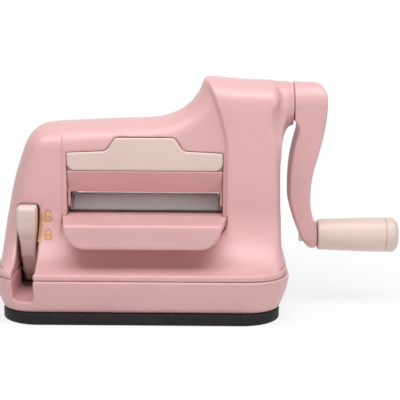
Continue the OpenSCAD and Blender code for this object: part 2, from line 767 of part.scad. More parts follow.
// Front view of the crank arm: from the hub it sweeps in past the body and out again to the grip
module arm_outline() {
    d = crank_r / 73.8;
    inner = smooth_run([[0.4, -9], [2.6, -12.6], [0.8, -20.5], [-0.8, -28], [-1.7, -36],
        [-2.0, -44], [-1.8, -52], [-0.6, -58], [1.2, -64], [3.4, -70], [6.4, -76], [9.6, -80.4]], 3);
    outer = smooth_run([[13.2, -80.6], [13.4, -74], [12.6, -66], [10.9, -60], [10.0, -53.5],
        [10.2, -45], [11.6, -36], [14.0, -27], [15.8, -19.5], [17.1, -12], [hub_l, -4]], 3);
    translate([hub_x, crank_z]) polygon(concat([for (p = inner) [p[0], p[1] * d]],
        [[11.2, -81.3 * d]], [for (p = outer) [p[0], p[1] * d]],
        arc(hub_l - 6, hub_d / 2 - 6, 6, 0, 90, 8), [[0, hub_d / 2]]));
}

module crank_arm() {
    color(PINK) difference() {
        union() {
            intersection() {
                front_prism(-hub_d, hub_d) arm_outline();
                slab(hub_x - 20, hub_end + 10) hull() {
                    translate([0, crank_z]) circle(r = hub_d / 2, $fn = 64);
                    translate([0, grip_z]) circle(r = arm_foot_r, $fn = 64);
                }
            }
            rod(boss_x, arm_end_x, grip_boss_r, 0, grip_z);
        }
        rod(hub_x - 1, hub_end - shaft_seat, shaft_d / 2 + press_fit, 0, crank_z);
        rod(hub_end - shaft_seat - 0.5, hub_end - screw_seat, 3.2, 0, crank_z);
        rod(hub_end - screw_seat - 0.1, hub_end + 1, cap_seat_r, 0, crank_z);
        rod(hub_x - 5, arm_end_x + 1, bolt_r + press_fit, 0, grip_z);
        rod(hub_x - 5, bolt_seat_x, bolt_head_r + 0.3, 0, grip_z);
    }
}

module crank_screw() {
    color(STEEL) difference() {
        union() {
            rod(hub_end - 13, hub_end - screw_seat + 0.2, crank_screw_r, 0, crank_z);
            rod(hub_end - screw_seat, hub_end - 1.6, screw_head_r, 0, crank_z);
        }
        slab(hub_end - 2.6, hub_end) translate([0, crank_z]) circle(r = 1.6, $fn = 6);
    }
}

module crank_cap() {
    color(PINK) difference() {
        rod(hub_end - screw_seat, hub_end, cap_seat_r - 0.05, 0, crank_z);
        rod(hub_end - screw_seat - 1, hub_end - 1.2, screw_head_r + 0.2, 0, crank_z);
    }
}

// Grip, fuller towards the hand's outer edge; its end is a domed cap
cap_l = 7;

module grip() {
    neck = grip_l - 12;
    color(CREAM) translate([grip_x, 0, grip_z]) rotate([0, 90, 0]) rotate_extrude() polygon(concat(
        [[bolt_r + running_fit, 0]], arc(grip_d / 2 - 1.2, 1.2, 1.2, -90, 0, 5),
        [[grip_end_d / 2 - 0.2, grip_l * 0.6], [grip_end_d / 2, grip_l - cap_l], [5.2, grip_l - cap_l],
         [5.2, neck], [bolt_r + running_fit, neck]]));
}

module grip_cap() {
    r = grip_end_d / 2;
    seat = grip_l - cap_l;
    color(CREAM) translate([grip_x, 0, grip_z]) rotate([0, 90, 0]) rotate_extrude() polygon(concat(
        [[0, seat + 2], [4.2, seat + 2], [4.2, seat - 2.2], [5.15, seat - 2.2],
         [5.15, seat + 0.05], [r, seat + 0.05]],
        arc(r - 4.2, grip_l - 4.8, 4.2, 0, 70, 8), [[0, grip_l]]));
}

module grip_bolt() {
    color(STEEL) union() {
        washer_x = grip_x + grip_l - 11.7;
        rod(bolt_head_x, washer_x, bolt_r, 0, grip_z);
        rod(washer_x, washer_x + 2.3, 4.4, 0, grip_z);
        rod(bolt_head_x, bolt_seat_x - 0.2, bolt_head_r, 0, grip_z);
    }
}

// ---- folding trays -------------------------------------------------------

// Side view of a closed tray: feed surface inwards, plate seat and slanted toe outwards
tray_seat = 2.4;
tray_deck = 2;
tray_frame_z = tray_z1 - shoulder_drop;
plate_thick = 2.3;
plate_corner = 3;
rib_t = 2.2;

module tray_side() {
    polygon([[-hinge_y - 0.8, tray_z0], [-tray_out, plate_z0 - joint_gap],
        [tray_seat - tray_out, plate_z0 - joint_gap], [tray_seat - tray_out, tray_frame_z],
        [-tray_in - 0.8, tray_frame_z], [-tray_in, tray_frame_z - 0.8], [-tray_in, tray_z0]]);
}

module tray_frame() {
    bay = (tray_r - tray_l - rib_t) / 4;
    color(PINK) difference() {
        union() {
            slab(tray_l, tray_r) tray_side();
            // Ears reach down to the hinge pins
            for (x = [tray_l, tray_r - ear_t]) slab(x, x + ear_t) union() {
                translate([-hinge_y, hinge_z]) circle(r = ear_r);
                translate([-hinge_y - ear_r + 0.6, hinge_z])
                    square([2 * ear_r - 1.2, tray_z0 - hinge_z + 1]);
            }
            rod(tray_l - side_gap - liner + 0.2, tray_l + 1, pin_r, -hinge_y, hinge_z);
            rod(tray_r - 1, tray_r + side_gap + liner - 0.2, pin_r, -hinge_y, hinge_z);
        }
        // Bays between ribs, covered by the plate
        for (i = [0:3]) translate([tray_l + rib_t + i * bay, -tray_out, plate_z0 + 1.5])
            cube([bay - rib_t, tray_t - tray_deck, tray_frame_z - plate_z0 - 3]);
    }
}

module tray_plate() {
    color(CREAM) union() {
        intersection() {
            front_prism(-tray_out, -tray_out + plate_thick)
                tray_outline(0, plate_z0, tray_l, tray_r);
            front_prism(-tray_out - 1, 0) union() {
                r = plate_corner;
                high = tray_z2 - plate_z0;
                translate([tray_l + r, plate_z0]) square([tray_r - tray_l - 2 * r, high]);
                translate([tray_l, plate_z0 + r]) square([tray_r - tray_l, high]);
                for (x = [tray_l + r, tray_r - r]) translate([x, plate_z0 + r]) circle(r = r);
            }
        }
        // The tab is as thick as the tray, so a finger finds it
        intersection() {
            front_prism(-tray_out + plate_thick - 0.1, -tray_in - 2)
                tray_outline(-0.4, plate_z0, tray_l, tray_r);
            translate([window_x - tab_w / 2 - tab_flank, -tray_out, tray_frame_z + 0.1])
                cube([tab_w + 2 * tab_flank, tray_t, tab_h + shoulder_drop]);
        }
    }
}

module tray_front_frame() { tray_frame(); }
module tray_front_plate() { tray_plate(); }
module tray_rear_frame() { mirror([0, 1, 0]) tray_frame(); }
module tray_rear_plate() { mirror([0, 1, 0]) tray_plate(); }

// ---- lock lever and suction foot -----------------------------------------

lever_head_h = 16;
lever_front = -36;
stem_w = lever_w - 3.2;

module lever_stem_side() {
    hull() {
        translate([pivot_y, pivot_z]) circle(r = 6.4, $fn = 48);
        translate([lever_front + 5.6, lever_top_z - lever_head_h + 4]) circle(r = 3.6, $fn = 32);
    }
}

module lever_head_side() {
    t = lever_top_z;
    polygon(concat(arc(lever_front + 3, t - 3, 3, 90, 180, 8),
        smooth_run([[lever_front, t - 6], [lever_front + 0.5, t - 10], [lever_front + 1.6, t - 14],
                    [lever_front + 3, t - lever_head_h]], 3),
        [[lever_front + 9, t - lever_head_h + 2]],
        arc(lever_front + 7.2, t - 2, 2, 0, 90, 6)));
}

module lock_lever() {
    color(CREAM) difference() {
        union() {
            slab(lever_x - stem_w / 2, lever_x + stem_w / 2) lever_stem_side();
            slab(lever_x - lever_w / 2, lever_x + lever_w / 2) lever_head_side();
        }
        rod(lever_x - lever_w, lever_x + lever_w, lever_shaft_r + press_fit, pivot_y, pivot_z);
    }
}

lever_shaft_x0 = lever_x - lever_w / 2 - 1;
lever_shaft_x1 = 12;

module lever_shaft() {
    color(STEEL) rod(lever_shaft_x0, lever_shaft_x1, lever_shaft_r, pivot_y, pivot_z);
}

module lever_cam() {
    color(NYLON) difference() {
        union() {
            rod(-cam_w / 2, cam_w / 2, cam_r, pivot_y + cam_e * cos(cam_rest),
                pivot_z + cam_e * sin(cam_rest));
            rod(-cam_w / 2, cam_w / 2, lever_shaft_r + 1.6, pivot_y, pivot_z);
        }
        rod(-cam_w, cam_w, lever_shaft_r + press_fit, pivot_y, pivot_z);
    }
}

// Bearing block on the base plate
module shaft_bracket(x) {
    color(STEEL) difference() {
        slab(x, x + bracket_t) union() {
            translate([pivot_y - 6, plate_z]) square([12, pivot_z - plate_z]);
            translate([pivot_y, pivot_z]) circle(r = 6);
            translate([pivot_y - 10, plate_z]) square([20, 2]);
        }
        rod(x - 1, x + bracket_t + 1, lever_shaft_r + running_fit, pivot_y, pivot_z);
    }
}

module lever_bracket() { shaft_bracket(lever_x + slot_w / 2 + well + 0.8); }
module cam_bracket() { shaft_bracket(8.5); }

module suction_disc() {
    color(RUBBER) cylinder(h = disc_top, r1 = disc_d / 2, r2 = disc_d / 2 - 1.2);
}

// Stud with a yoke that rests over the cam
module suction_stud() {
    top = pivot_z + cam_e * sin(cam_rest) + cam_r + 0.3;
    low = plate_z + 0.4;
    cheek = 2.2;
    half = cam_w / 2 + 0.6 + cheek;
    back = -3.6;
    front = 4.5;
    color(STEEL) union() {
        translate([0, 0, disc_top]) cylinder(h = plate_z - disc_top + 1, r = stud_r);
        translate([-half, back, low]) cube([2 * half, front - back, 2]);
        for (x = [-half, half - cheek])
            translate([x, back, low]) cube([cheek, front - back, top + 2 - low]);
        translate([-half, pivot_y - 2, top]) cube([2 * half, front - pivot_y + 2, 2]);
    }
}

base_pad();
base_plate();
lower_housing();
upper_housing_front();
upper_housing_rear();
shelf_front();
shelf_rear();
dust_strip_front();
dust_strip_rear();
side_frame_left();
side_frame_right();
gear_frame();
tie_rod(0);  // tie_rod_1
tie_rod(1);  // tie_rod_2
tie_rod(2);  // tie_rod_3
bush(frame_l, lower_z);  // bush_lower_left
bush(frame_r, lower_z);  // bush_lower_right
bush(gear_frame_x, lower_z);  // bush_lower_outer
bush(frame_l, upper_z);  // bush_upper_left
bush(frame_r, upper_z);  // bush_upper_right
bush(gear_frame_x, upper_z);  // bush_upper_outer
bush(frame_r, crank_z);  // bush_crank_inner
bush(gear_frame_x, crank_z);  // bush_crank_outer
roller_sleeve(lower_z);  // lower_sleeve
roller_shaft(lower_z);  // lower_shaft
lower_gear();
roller_sleeve(upper_z);  // upper_sleeve
roller_shaft(upper_z);  // upper_shaft
upper_gear();
idler_axle();
idler_gear();
crank_gear();
crank_shaft();
crank_arm();
crank_screw();
crank_cap();
grip_bolt();
grip();
grip_cap();
tray_front_frame();
tray_front_plate();
tray_rear_frame();
tray_rear_plate();
lock_lever();
lever_shaft();
lever_cam();
lever_bracket();
cam_bracket();
suction_disc();
suction_stud();
housing_screw(SCREW_SPOTS[0]);  // screw_1
housing_screw(SCREW_SPOTS[1]);  // screw_2
housing_screw(SCREW_SPOTS[2]);  // screw_3
housing_screw(SCREW_SPOTS[3]);  // screw_4
housing_screw(SCREW_SPOTS[4]);  // screw_5
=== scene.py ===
"""Looks of a hand-cranked die cutting machine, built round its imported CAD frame.

Each moulded piece is a shape given by signed distances in millimetres, which a mesher turns
into a fine quad mesh. Turned pieces are profiles swept round an axis. The frames, gears,
shafts and screws stay as the frame holds them and only get their finish here.
"""

import logging
import math
from collections.abc import Callable, Sequence
from dataclasses import dataclass, field
from enum import Enum

import bpy
import numpy as np
from mathutils import Matrix, Vector


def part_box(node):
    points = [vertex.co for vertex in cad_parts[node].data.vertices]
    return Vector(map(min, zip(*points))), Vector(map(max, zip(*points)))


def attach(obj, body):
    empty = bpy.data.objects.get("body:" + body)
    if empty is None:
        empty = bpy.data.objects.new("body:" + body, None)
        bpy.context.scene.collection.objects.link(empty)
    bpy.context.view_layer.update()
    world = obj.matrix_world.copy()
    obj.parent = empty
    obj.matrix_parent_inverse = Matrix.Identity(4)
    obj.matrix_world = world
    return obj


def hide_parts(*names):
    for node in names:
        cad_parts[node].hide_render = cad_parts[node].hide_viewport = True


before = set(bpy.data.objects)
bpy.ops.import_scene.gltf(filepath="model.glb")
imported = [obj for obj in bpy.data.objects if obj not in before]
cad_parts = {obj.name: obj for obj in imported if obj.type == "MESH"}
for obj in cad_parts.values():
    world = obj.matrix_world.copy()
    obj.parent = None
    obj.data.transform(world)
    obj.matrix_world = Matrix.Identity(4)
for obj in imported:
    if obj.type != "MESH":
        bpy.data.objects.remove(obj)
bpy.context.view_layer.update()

MM = 0.001
LOG = logging.getLogger("die_cutter")

Points = np.ndarray
Values = np.ndarray
Shape = Callable[[Points], Values]
Figure = Callable[[Values, Values], Values]
Place = Sequence[float]
Rgba = tuple[float, ...]
Socket = bpy.types.NodeSocket


class Side(Enum):
    """The two faces of the machine; the value is the sign of Y there."""

    FRONT = -1
    REAR = 1

    @property
    def word(self) -> str:
        """Name used in node and piece names."""
        return self.name.lower()

    @property
    def body(self) -> str:
        """Body that this side's feed tray turns with."""
        return f"{self.word}_tray"

    def faced(self, shape: Shape) -> Shape:
        """Turns a shape written for the front so that it lies on this side."""
        flip = np.array([1.0, -float(self.value), 1.0])
        return lambda p: shape(p * flip)

    def span(self, near: float, far: float) -> tuple[float, float]:
        """Lowest and highest Y of a piece from depth near to depth far."""
        return (-far, -near) if self is Side.FRONT else (near, far)


class Look(Enum):
    """The machine's finishes; all but the shade seal and the foil are slots of the record too. The
    shade seal's dark reddish colour is painted shade for the gap under the rollers.
    """

    PINK = "pink"
    CREAM = "cream"
    ROLLER = "roller"
    NYLON = "nylon"
    RUBBER = "rubber"
    # painted shade: dark reddish rubber that stands for the shadow in the gap below the rollers
    SEAL = "seal"
    STEEL = "steel"
    BRONZE = "bronze"
    FOIL = "foil"


# ---- reading the frame ---------------------------------------------------------------------


def node_box(node: str) -> tuple[np.ndarray, np.ndarray]:
    """Lowest and highest corner of a CAD node, in millimetres."""
    low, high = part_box(node)
    return np.array(low) / MM, np.array(high) / MM


def node_mid(node: str) -> np.ndarray:
    """Middle of a CAD node's box, in millimetres."""
    return sum(node_box(node)) / 2


@dataclass(frozen=True)
class Datum:
    """Driving sizes that several sub-assemblies share, in millimetres."""

    half_w: float
    half_d: float
    seam_z: float
    win_l: float
    win_r: float
    shelf_z: float
    shelf_low: float
    tray_z1: float
    tray_z2: float
    plate_z0: float
    crank_z: float
    hub_r: float
    hub_x: float
    hub_end: float
    grip_z: float
    lower_z: float
    upper_z: float
    lever_x: float
    lever_top: float
    pivot_y: float
    pivot_z: float
    side_gap: float = 0.4
    shoulder_drop: float = 1.0
    hub_l: float = 18.0
    wall: float = 2.4
    wall_in: float = 4.0
    well_wall: float = 1.6
    slot_w: float = 11.4
    slot_corner: float = 2.4
    plan_r: float = 24.0

    @classmethod
    def read(cls) -> "Datum":
        """Works the sizes out from the boxes of the nodes.

        Returns:
            The driving sizes.
        """
        foot = node_box("lower_housing")[1]
        plate = node_box("tray_front_plate")
        shelf = node_box("shelf_front")
        arm = node_box("crank_arm")[1]
        cap = node_mid("crank_cap")
        lever = node_box("lock_lever")
        shaft = node_mid("lever_shaft")
        return cls(
            half_w=foot[0], half_d=foot[1], seam_z=node_box("upper_housing_front")[0][2],
            win_l=plate[0][0] - cls.side_gap, win_r=plate[1][0] + cls.side_gap,
            shelf_z=shelf[1][2], shelf_low=shelf[0][2],
            tray_z1=node_box("tray_front_frame")[1][2] + cls.shoulder_drop,
            tray_z2=plate[1][2], plate_z0=plate[0][2],
            crank_z=cap[2], hub_r=arm[2] - cap[2], hub_x=arm[0] - cls.hub_l, hub_end=arm[0],
            grip_z=node_mid("grip")[2], lower_z=node_mid("lower_sleeve")[2],
            upper_z=node_mid("upper_sleeve")[2],
            lever_x=(lever[0][0] + lever[1][0]) / 2, lever_top=lever[1][2],
            pivot_y=shaft[1], pivot_z=shaft[2],
        )

    @property
    def tray_l(self) -> float:
        """X of the trays' left ends."""
        return self.win_l + self.side_gap

    @property
    def tray_r(self) -> float:
        """X of the trays' right ends."""
        return self.win_r - self.side_gap

    @property
    def tray_end_z(self) -> float:
        """Top of the trays' ends, below their sloping shoulders."""
        return self.tray_z1 - self.shoulder_drop

    @property
    def tower_z(self) -> float:
        """Top of the crank hub, from which the tower's crest is drawn."""
        return self.crank_z + self.hub_r

    @property
    def wall_right(self) -> float:
        """X of the tower's right wall."""
        return self.half_w - self.wall_in


# ---- shapes as signed distances ------------------------------------------------------------


def smooth_max(a: Values, b: Values, k: float | Values) -> Values:
    """Larger of two distances, with the edge between them rounded.

    Args:
        a: One distance.
        b: The other distance.
        k: Width over which the edge is rounded.

    Returns:
        The joint distance.
    """
    k = np.maximum(k, 1e-6)
    h = np.maximum(k - np.abs(a - b), 0.0) / k
    return np.maximum(a, b) + h * h * k / 4


def smooth_min(a: Values, b: Values, k: float | Values) -> Values:
    """Smaller of two distances, with the corner between them filled over k."""
    return -smooth_max(-a, -b, k)


def cut(body: Values, tool: Values, k: float = 0.0) -> Values:
    """A body less a tool, with the new edge rounded over k."""
    return smooth_max(body, -tool, k) if k else np.maximum(body, -tool)


def ease(u: Values) -> Values:
    """Smooth step from 0 to 1."""
    u = np.clip(u, 0.0, 1.0)
    return u * u * (3 - 2 * u)


def plate_distance(u: Values, v: Values, hu: float, hv: float, r: float) -> Values:
    """Distance to a rounded rectangle about the origin, with half sizes hu and hv."""
    qu, qv = np.abs(u) - hu + r, np.abs(v) - hv + r
    return np.hypot(np.maximum(qu, 0), np.maximum(qv, 0)) + np.minimum(np.maximum(qu, qv), 0) - r


def between(t: Values, low: float, high: float) -> Values:
    """Distance to the layer from low to high."""
    return np.maximum(low - t, t - high)


def bar_distance(p: Points, low: Place, high: Place) -> Values:
    """Distance to a box given by two corners."""
    return np.maximum.reduce([between(p[:, i], low[i], high[i]) for i in range(3)])


def catmull_run(points: Sequence[Sequence[float]], steps: int) -> np.ndarray:
    """Smooth line through points.

    Args:
        points: The points that the line passes.
        steps: Pieces between two neighbours.

    Returns:
        The points of the line, one row each.
    """
    p = np.array(points, float)
    p = np.vstack([p[:1], p, p[-1:]])
    out = []
    for i in range(1, len(p) - 2):
        a, b, c, d = p[i - 1:i + 3]
        for t in np.arange(steps) / steps:
            out.append(0.5 * (2 * b + (c - a) * t + (2 * a - 5 * b + 4 * c - d) * t**2
                              + (3 * b - a - 3 * c + d) * t**3))
    return np.vstack([out, p[-1:]])


def arc(cx: float, cy: float, r: float, a0: float, a1: float, steps: int = 12) -> np.ndarray:
    """Points of an arc from angle a0 to a1, in degrees."""
    a = np.radians(np.linspace(a0, a1, steps + 1))
    return np.column_stack([cx + r * np.cos(a), cy + r * np.sin(a)])


def filleted(corners: Sequence[tuple[float, float, float]], steps: int = 5) -> np.ndarray:
    """Closed outline with rounded corners.

    Args:
        corners: Corners as (x, y, radius); a radius of 0 leaves the corner sharp.
        steps: Pieces of each rounding.

    Returns:
        The points of the outline.
    """
    xy = np.array([c[:2] for c in corners], float)
    out = []
    for i, (_, _, r) in enumerate(corners):
        here, back, on = xy[i], xy[i - 1] - xy[i], xy[(i + 1) % len(xy)] - xy[i]
        lb, lo = np.hypot(*back), np.hypot(*on)
        if r <= 0 or lb < 1e-6 or lo < 1e-6:
            out.append(here)
            continue
        back, on = back / lb, on / lo
        half = math.acos(float(np.clip(back @ on, -1, 1))) / 2
        reach = min(r / max(math.tan(half), 1e-3), 0.49 * lb, 0.49 * lo)
        for t in np.linspace(0, 1, steps + 1):
            out.append(here + back * reach * (1 - t) ** 2 + on * reach * t**2)
    return np.array(out)


@dataclass
class Outline:
    """A closed outline in a plane, which gives the distance to it."""

    points: np.ndarray

    def exact(self, u: Values, v: Values) -> Values:
        """Signed distance, negative inside.

        Args:
            u: First coordinate of each point.
            v: Second coordinate of each point.

        Returns:
            One distance per point.
        """
        best = np.full(u.shape, np.inf)
        inside = np.zeros(u.shape, bool)
        for (ax, ay), (bx, by) in zip(self.points, np.roll(self.points, -1, 0)):
            ex, ey = bx - ax, by - ay
            if ex == 0 and ey == 0:
                continue
            wx, wy = u - ax, v - ay
            t = np.clip((wx * ex + wy * ey) / (ex * ex + ey * ey), 0, 1)
            best = np.minimum(best, (wx - ex * t) ** 2 + (wy - ey * t) ** 2)
            if ey != 0:
                inside ^= ((ay <= v) != (by <= v)) & (wx < ex * wy / ey)
        return np.where(inside, -1.0, 1.0) * np.sqrt(best)

    def tabled(self, step: float = 0.4, margin: float = 8.0) -> "Table":
        """Samples the distance on a grid, for outlines with many points."""
        low, high = self.points.min(0) - margin, self.points.max(0) + margin
        return Table.sample(self.exact, low, high, step)


@dataclass
class Table:
    """A function of two coordinates, sampled on a grid and read back between its samples."""

    low: np.ndarray
    step: float
    values: np.ndarray

    @classmethod
    def sample(cls, source: Callable[[Values, Values], Values],
               low: np.ndarray, high: np.ndarray, step: float) -> "Table":
        """Samples a function.

        Args:
            source: The function.
            low: Lowest corner of the grid.
            high: Highest corner of the grid.
            step: Distance between samples.

        Returns:
            The filled table.
        """
        u, v = (np.arange(low[i], high[i] + step, step) for i in range(2))
        grid = np.meshgrid(u, v, indexing="ij")
        return cls(np.array(low), step, source(grid[0], grid[1]))

    def __call__(self, u: Values, v: Values) -> Values:
        """Reads the table; outside it, the distance to its edge is added.

        Args:
            u: First coordinate of each point.
            v: Second coordinate of each point.

        Returns:
            One value per point.
        """
        top = np.array(self.values.shape) - 1.001
        gu, gv = (u - self.low[0]) / self.step, (v - self.low[1]) / self.step
        cu, cv = np.clip(gu, 0, top[0]), np.clip(gv, 0, top[1])
        i, j = cu.astype(int), cv.astype(int)
        fu, fv = cu - i, cv - j
        t = self.values
        read = ((t[i, j] * (1 - fu) + t[i + 1, j] * fu) * (1 - fv)
                + (t[i, j + 1] * (1 - fu) + t[i + 1, j + 1] * fu) * fv)
        return read + np.hypot(gu - cu, gv - cv) * self.step


def slopes(shape: Shape, p: Points, f: Values, reach: float) -> np.ndarray:
    """How steeply a shape's values change along each axis.

    Args:
        shape: The shape.
        p: Where to look.
        f: The shape's values there.
        reach: Length of the step that is tried, in millimetres.

    Returns:
        One row of three slopes per point.
    """
    found = np.empty_like(p)
    for axis in range(3):
        q = p.copy()
        q[:, axis] += reach
        found[:, axis] = (shape(q) - f) / reach
    return found


def steady(raw: Shape, p: Points, reach: float = 0.25, least: float = 0.35) -> Values:
    """Values of a shape, scaled by its slope so that they come close to real distances.

    Args:
        raw: The shape.
        p: Where to look.
        reach: Length of the step for the slope, in millimetres.
        least: Slope below which the values aren't scaled up any further.

    Returns:
        One value per point.
    """
    f = raw(p)
    return f / np.maximum(np.sqrt((slopes(raw, p, f, reach)**2).sum(1)), least)


# ---- meshes --------------------------------------------------------------------------------


def add_object(name: str, verts: np.ndarray, faces: list | np.ndarray,
               sharp: float | None = None) -> bpy.types.Object:
    """Adds a mesh object to the scene.

    Args:
        name: Name of the object.
        verts: Vertices in millimetres.
        faces: Vertex indices of each face.
        sharp: Angle in degrees from which an edge stays sharp, or None for smooth all over.

    Returns:
        The new object.
    """
    mesh = bpy.data.meshes.new(name)
    if isinstance(faces, np.ndarray):
        count, corners = faces.shape
        mesh.vertices.add(len(verts))
        mesh.vertices.foreach_set("co", (verts * MM).astype(np.float32).ravel())
        mesh.loops.add(count * corners)
        mesh.loops.foreach_set("vertex_index", faces.astype(np.int32).ravel())
        mesh.polygons.add(count)
        mesh.polygons.foreach_set("loop_start", np.arange(count, dtype=np.int32) * corners)
        mesh.update(calc_edges=True)
    else:
        mesh.from_pydata((verts * MM).tolist(), [], faces)
    mesh.shade_smooth()
    if sharp is not None:
        mesh.set_sharp_from_angle(angle=math.radians(sharp))
    obj = bpy.data.objects.new(name, mesh)
    bpy.context.scene.collection.objects.link(obj)
    return obj


@dataclass
class Mesher:
    """Turns a shape into a closed quad mesh with one vertex in each cell on its surface."""

    cell: float
    block: int = 6
    settle: int = 3
    slack: float = 1.5
    batch: int = 400_000

    SHIFTS = [np.array([i, j, k]) for i in (0, 1) for j in (0, 1) for k in (0, 1)]
    AXES = np.eye(3, dtype=int)

    def _sample(self, shape: Shape, low: np.ndarray, blocks: np.ndarray) -> np.ndarray:
        """Values at the grid's points, worked out only near the surface.

        Args:
            shape: The shape.
            low: Lowest corner of the grid.
            blocks: Number of blocks along each axis.

        Returns:
            The grid of values, which far from the surface only have the right sign.
        """
        size = self.block * self.cell
        mids = np.stack(np.meshgrid(*[np.arange(n) for n in blocks], indexing="ij"), -1)
        rough = shape((mids.reshape(-1, 3) + 0.5) * size + low).reshape(blocks)
        grid, mask = np.where(rough < 0, -1e3, 1e3), np.abs(rough) < size + self.slack
        for axis in range(3):
            grid = np.repeat(grid, self.block, axis)
            mask = np.repeat(mask, self.block, axis)
        grid = np.pad(grid, (0, 1), mode="edge")
        mask = np.pad(mask, (0, 1), mode="edge")
        for axis in range(3):
            shifted = np.roll(mask, 1, axis)
            first = [slice(None)] * 3
            first[axis] = 0
            shifted[tuple(first)] = False
            mask = mask | shifted
        spots = np.argwhere(mask)
        found = [shape(part * self.cell + low)
                 for part in np.array_split(spots, max(1, len(spots) // self.batch))]
        grid[mask] = np.concatenate(found)
        return grid

    def _crossings(self, grid: np.ndarray, where: np.ndarray) -> np.ndarray:
        """Mean place at which the surface crosses each cell's edges.

        Args:
            grid: The grid of values.
            where: Indices of the cells on the surface.

        Returns:
            One place per cell, counted in cells.
        """
        total, hits = np.zeros((len(where), 3)), np.zeros(len(where))
        for axis, step in enumerate(self.AXES):
            for o in self.SHIFTS:
                if o[axis]:
                    continue
                a = grid[tuple((where + o).T)]
                b = grid[tuple((where + o + step).T)]
                cross = (a < 0) != (b < 0)
                t = np.where(cross, a / np.where(cross, a - b, 1), 0)
                total += cross[:, None] * (o + t[:, None] * step)
                hits += cross
        return where + total / hits[:, None]

    def _quads(self, inside: np.ndarray, number: np.ndarray) -> np.ndarray:
        """Faces across the grid's edges that pass through the surface.

        Args:
            inside: Which points of the grid lie inside the shape.
            number: Number of each cell's vertex, or -1.

        Returns:
            Four vertex numbers per face.
        """
        here = inside[tuple(slice(0, n) for n in number.shape)]
        faces = []
        for axis, step in enumerate(self.AXES):
            eb, ec = self.AXES[(axis + 1) % 3], self.AXES[(axis + 2) % 3]
            on = inside[tuple(slice(s, s + n) for s, n in zip(step, number.shape))]
            spots = np.argwhere(here != on)
            spots = spots[(spots[:, (axis + 1) % 3] > 0) & (spots[:, (axis + 2) % 3] > 0)]
            quad = np.stack([number[tuple((spots + m).T)]
                             for m in (-eb - ec, -ec, 0 * eb, -eb)], 1)
            out = here[tuple(spots.T)]
            faces.append(np.where(out[:, None], quad, quad[:, ::-1]))
        quads = np.vstack(faces)
        return quads[(quads >= 0).all(1)]

    def _settled(self, shape: Shape, verts: np.ndarray) -> np.ndarray:
        """Vertices moved onto the surface itself.

        Args:
            shape: The shape.
            verts: The vertices, close to its surface.

        Returns:
            The moved vertices.
        """
        reach, least, furthest = 0.04, 0.1, 0.4 * self.cell
        for _ in range(self.settle):
            f = shape(verts)
            slope = slopes(shape, verts, f, reach)
            move = slope * (f / np.maximum((slope**2).sum(1), least))[:, None]
            length = np.linalg.norm(move, axis=1, keepdims=True)
            verts = verts - move * np.minimum(1, furthest / np.maximum(length, 1e-9))
        return verts

    def build(self, name: str, shape: Shape, low: Place, high: Place) -> bpy.types.Object:
        """Meshes a shape.

        Args:
            name: Name of the object.
            shape: The shape, by its signed distances.
            low: Lowest corner of the space that holds it.
            high: Highest corner of that space.

        Returns:
            The new object.
        """
        margin = 1.3 * self.cell
        start = np.array(low, float) - margin
        room = np.array(high, float) + margin - start
        grid = self._sample(shape, start, np.ceil(room / (self.cell * self.block)).astype(int))
        inside = grid < 0
        cells = np.array(grid.shape) - 1
        full = sum(inside[tuple(slice(s, s + n) for s, n in zip(o, cells))].astype(np.uint8)
                   for o in self.SHIFTS)
        active = (full > 0) & (full < len(self.SHIFTS))
        where = np.argwhere(active)
        number = np.full(cells, -1, np.int32)
        number[active] = np.arange(len(where))
        verts = self._crossings(grid, where) * self.cell + start
        return add_object(name, self._settled(shape, verts), self._quads(inside, number))


def ring_stack(name: str, rings: Sequence[np.ndarray], closed: bool,
               sharp: float = 30.0) -> bpy.types.Object:
    """Skin through rings of equal length; a ring of one point closes an end.

    Args:
        name: Name of the object.
        rings: The rings, each an array of points in millimetres.
        closed: Whether the last ring joins the first.
        sharp: Angle in degrees from which an edge stays sharp.

    Returns:
        The new object.
    """
    starts = np.cumsum([0] + [len(r) for r in rings])
    count = max(len(r) for r in rings)
    faces: list[list[int]] = []
    pairs = list(zip(range(len(rings)), range(1, len(rings))))
    if closed:
        pairs.append((len(rings) - 1, 0))
    for a, b in pairs:
        for j in range(count):
            k = (j + 1) % count
            low = [starts[a] + j, starts[a] + k] if len(rings[a]) > 1 else [starts[a]]
            high = [starts[b] + k, starts[b] + j] if len(rings[b]) > 1 else [starts[b]]
            faces.append([int(i) for i in low + high])
    obj = add_object(name, np.vstack(rings), faces, sharp)
    obj.data.validate()
    return obj


def turned(name: str, profile: np.ndarray, centre: tuple[float, float],
           segments: int = 96, closed: bool = True) -> bpy.types.Object:
    """A turned piece about an axis along X.

    Args:
        name: Name of the object.
        profile: Points as (x, radius), going round so that the outside lies on the left.
        centre: Y and Z of the axis.
        segments: Pieces round the axis.
        closed: Whether the profile is a closed loop, as on a piece with a bore.

    Returns:
        The new object.
    """
    a = np.linspace(0, 2 * math.pi, segments, endpoint=False)
    rings = []
    for x, r in profile:
        if r < 1e-6:
            rings.append(np.array([[x, centre[0], centre[1]]]))
        else:
            rings.append(np.column_stack([np.full(segments, x), centre[0] + r * np.cos(a),
                                          centre[1] + r * np.sin(a)]))
    return ring_stack(name, rings, closed)


# ---- finishes ------------------------------------------------------------------------------


def tint(colour: Sequence[float], times: float = 1.0, plus: float = 0.0) -> Rgba:
    """Scene colour of a display colour, made lighter or darker.

    Args:
        colour: Red, green and blue from 0 to 255.
        times: Factor on the scene colour.
        plus: What is added after that.

    Returns:
        Red, green, blue and alpha from 0 to 1.
    """
    c = [v / 255 for v in colour]
    lin = np.array([v / 12.92 if v <= 0.04045 else ((v + 0.055) / 1.055) ** 2.4 for v in c])
    return (*np.clip(lin * times + plus, 0, 1), 1.0)


def fill_in(node: bpy.types.Node, values: dict[str, object]) -> bpy.types.Node:
    """Sets a node's inputs by name.

    Args:
        node: The node.
        values: The inputs' values by name, with spaces written as underscores.

    Returns:
        The node.
    """
    for key, value in values.items():
        node.inputs[key.replace("_", " ")].default_value = value
    return node


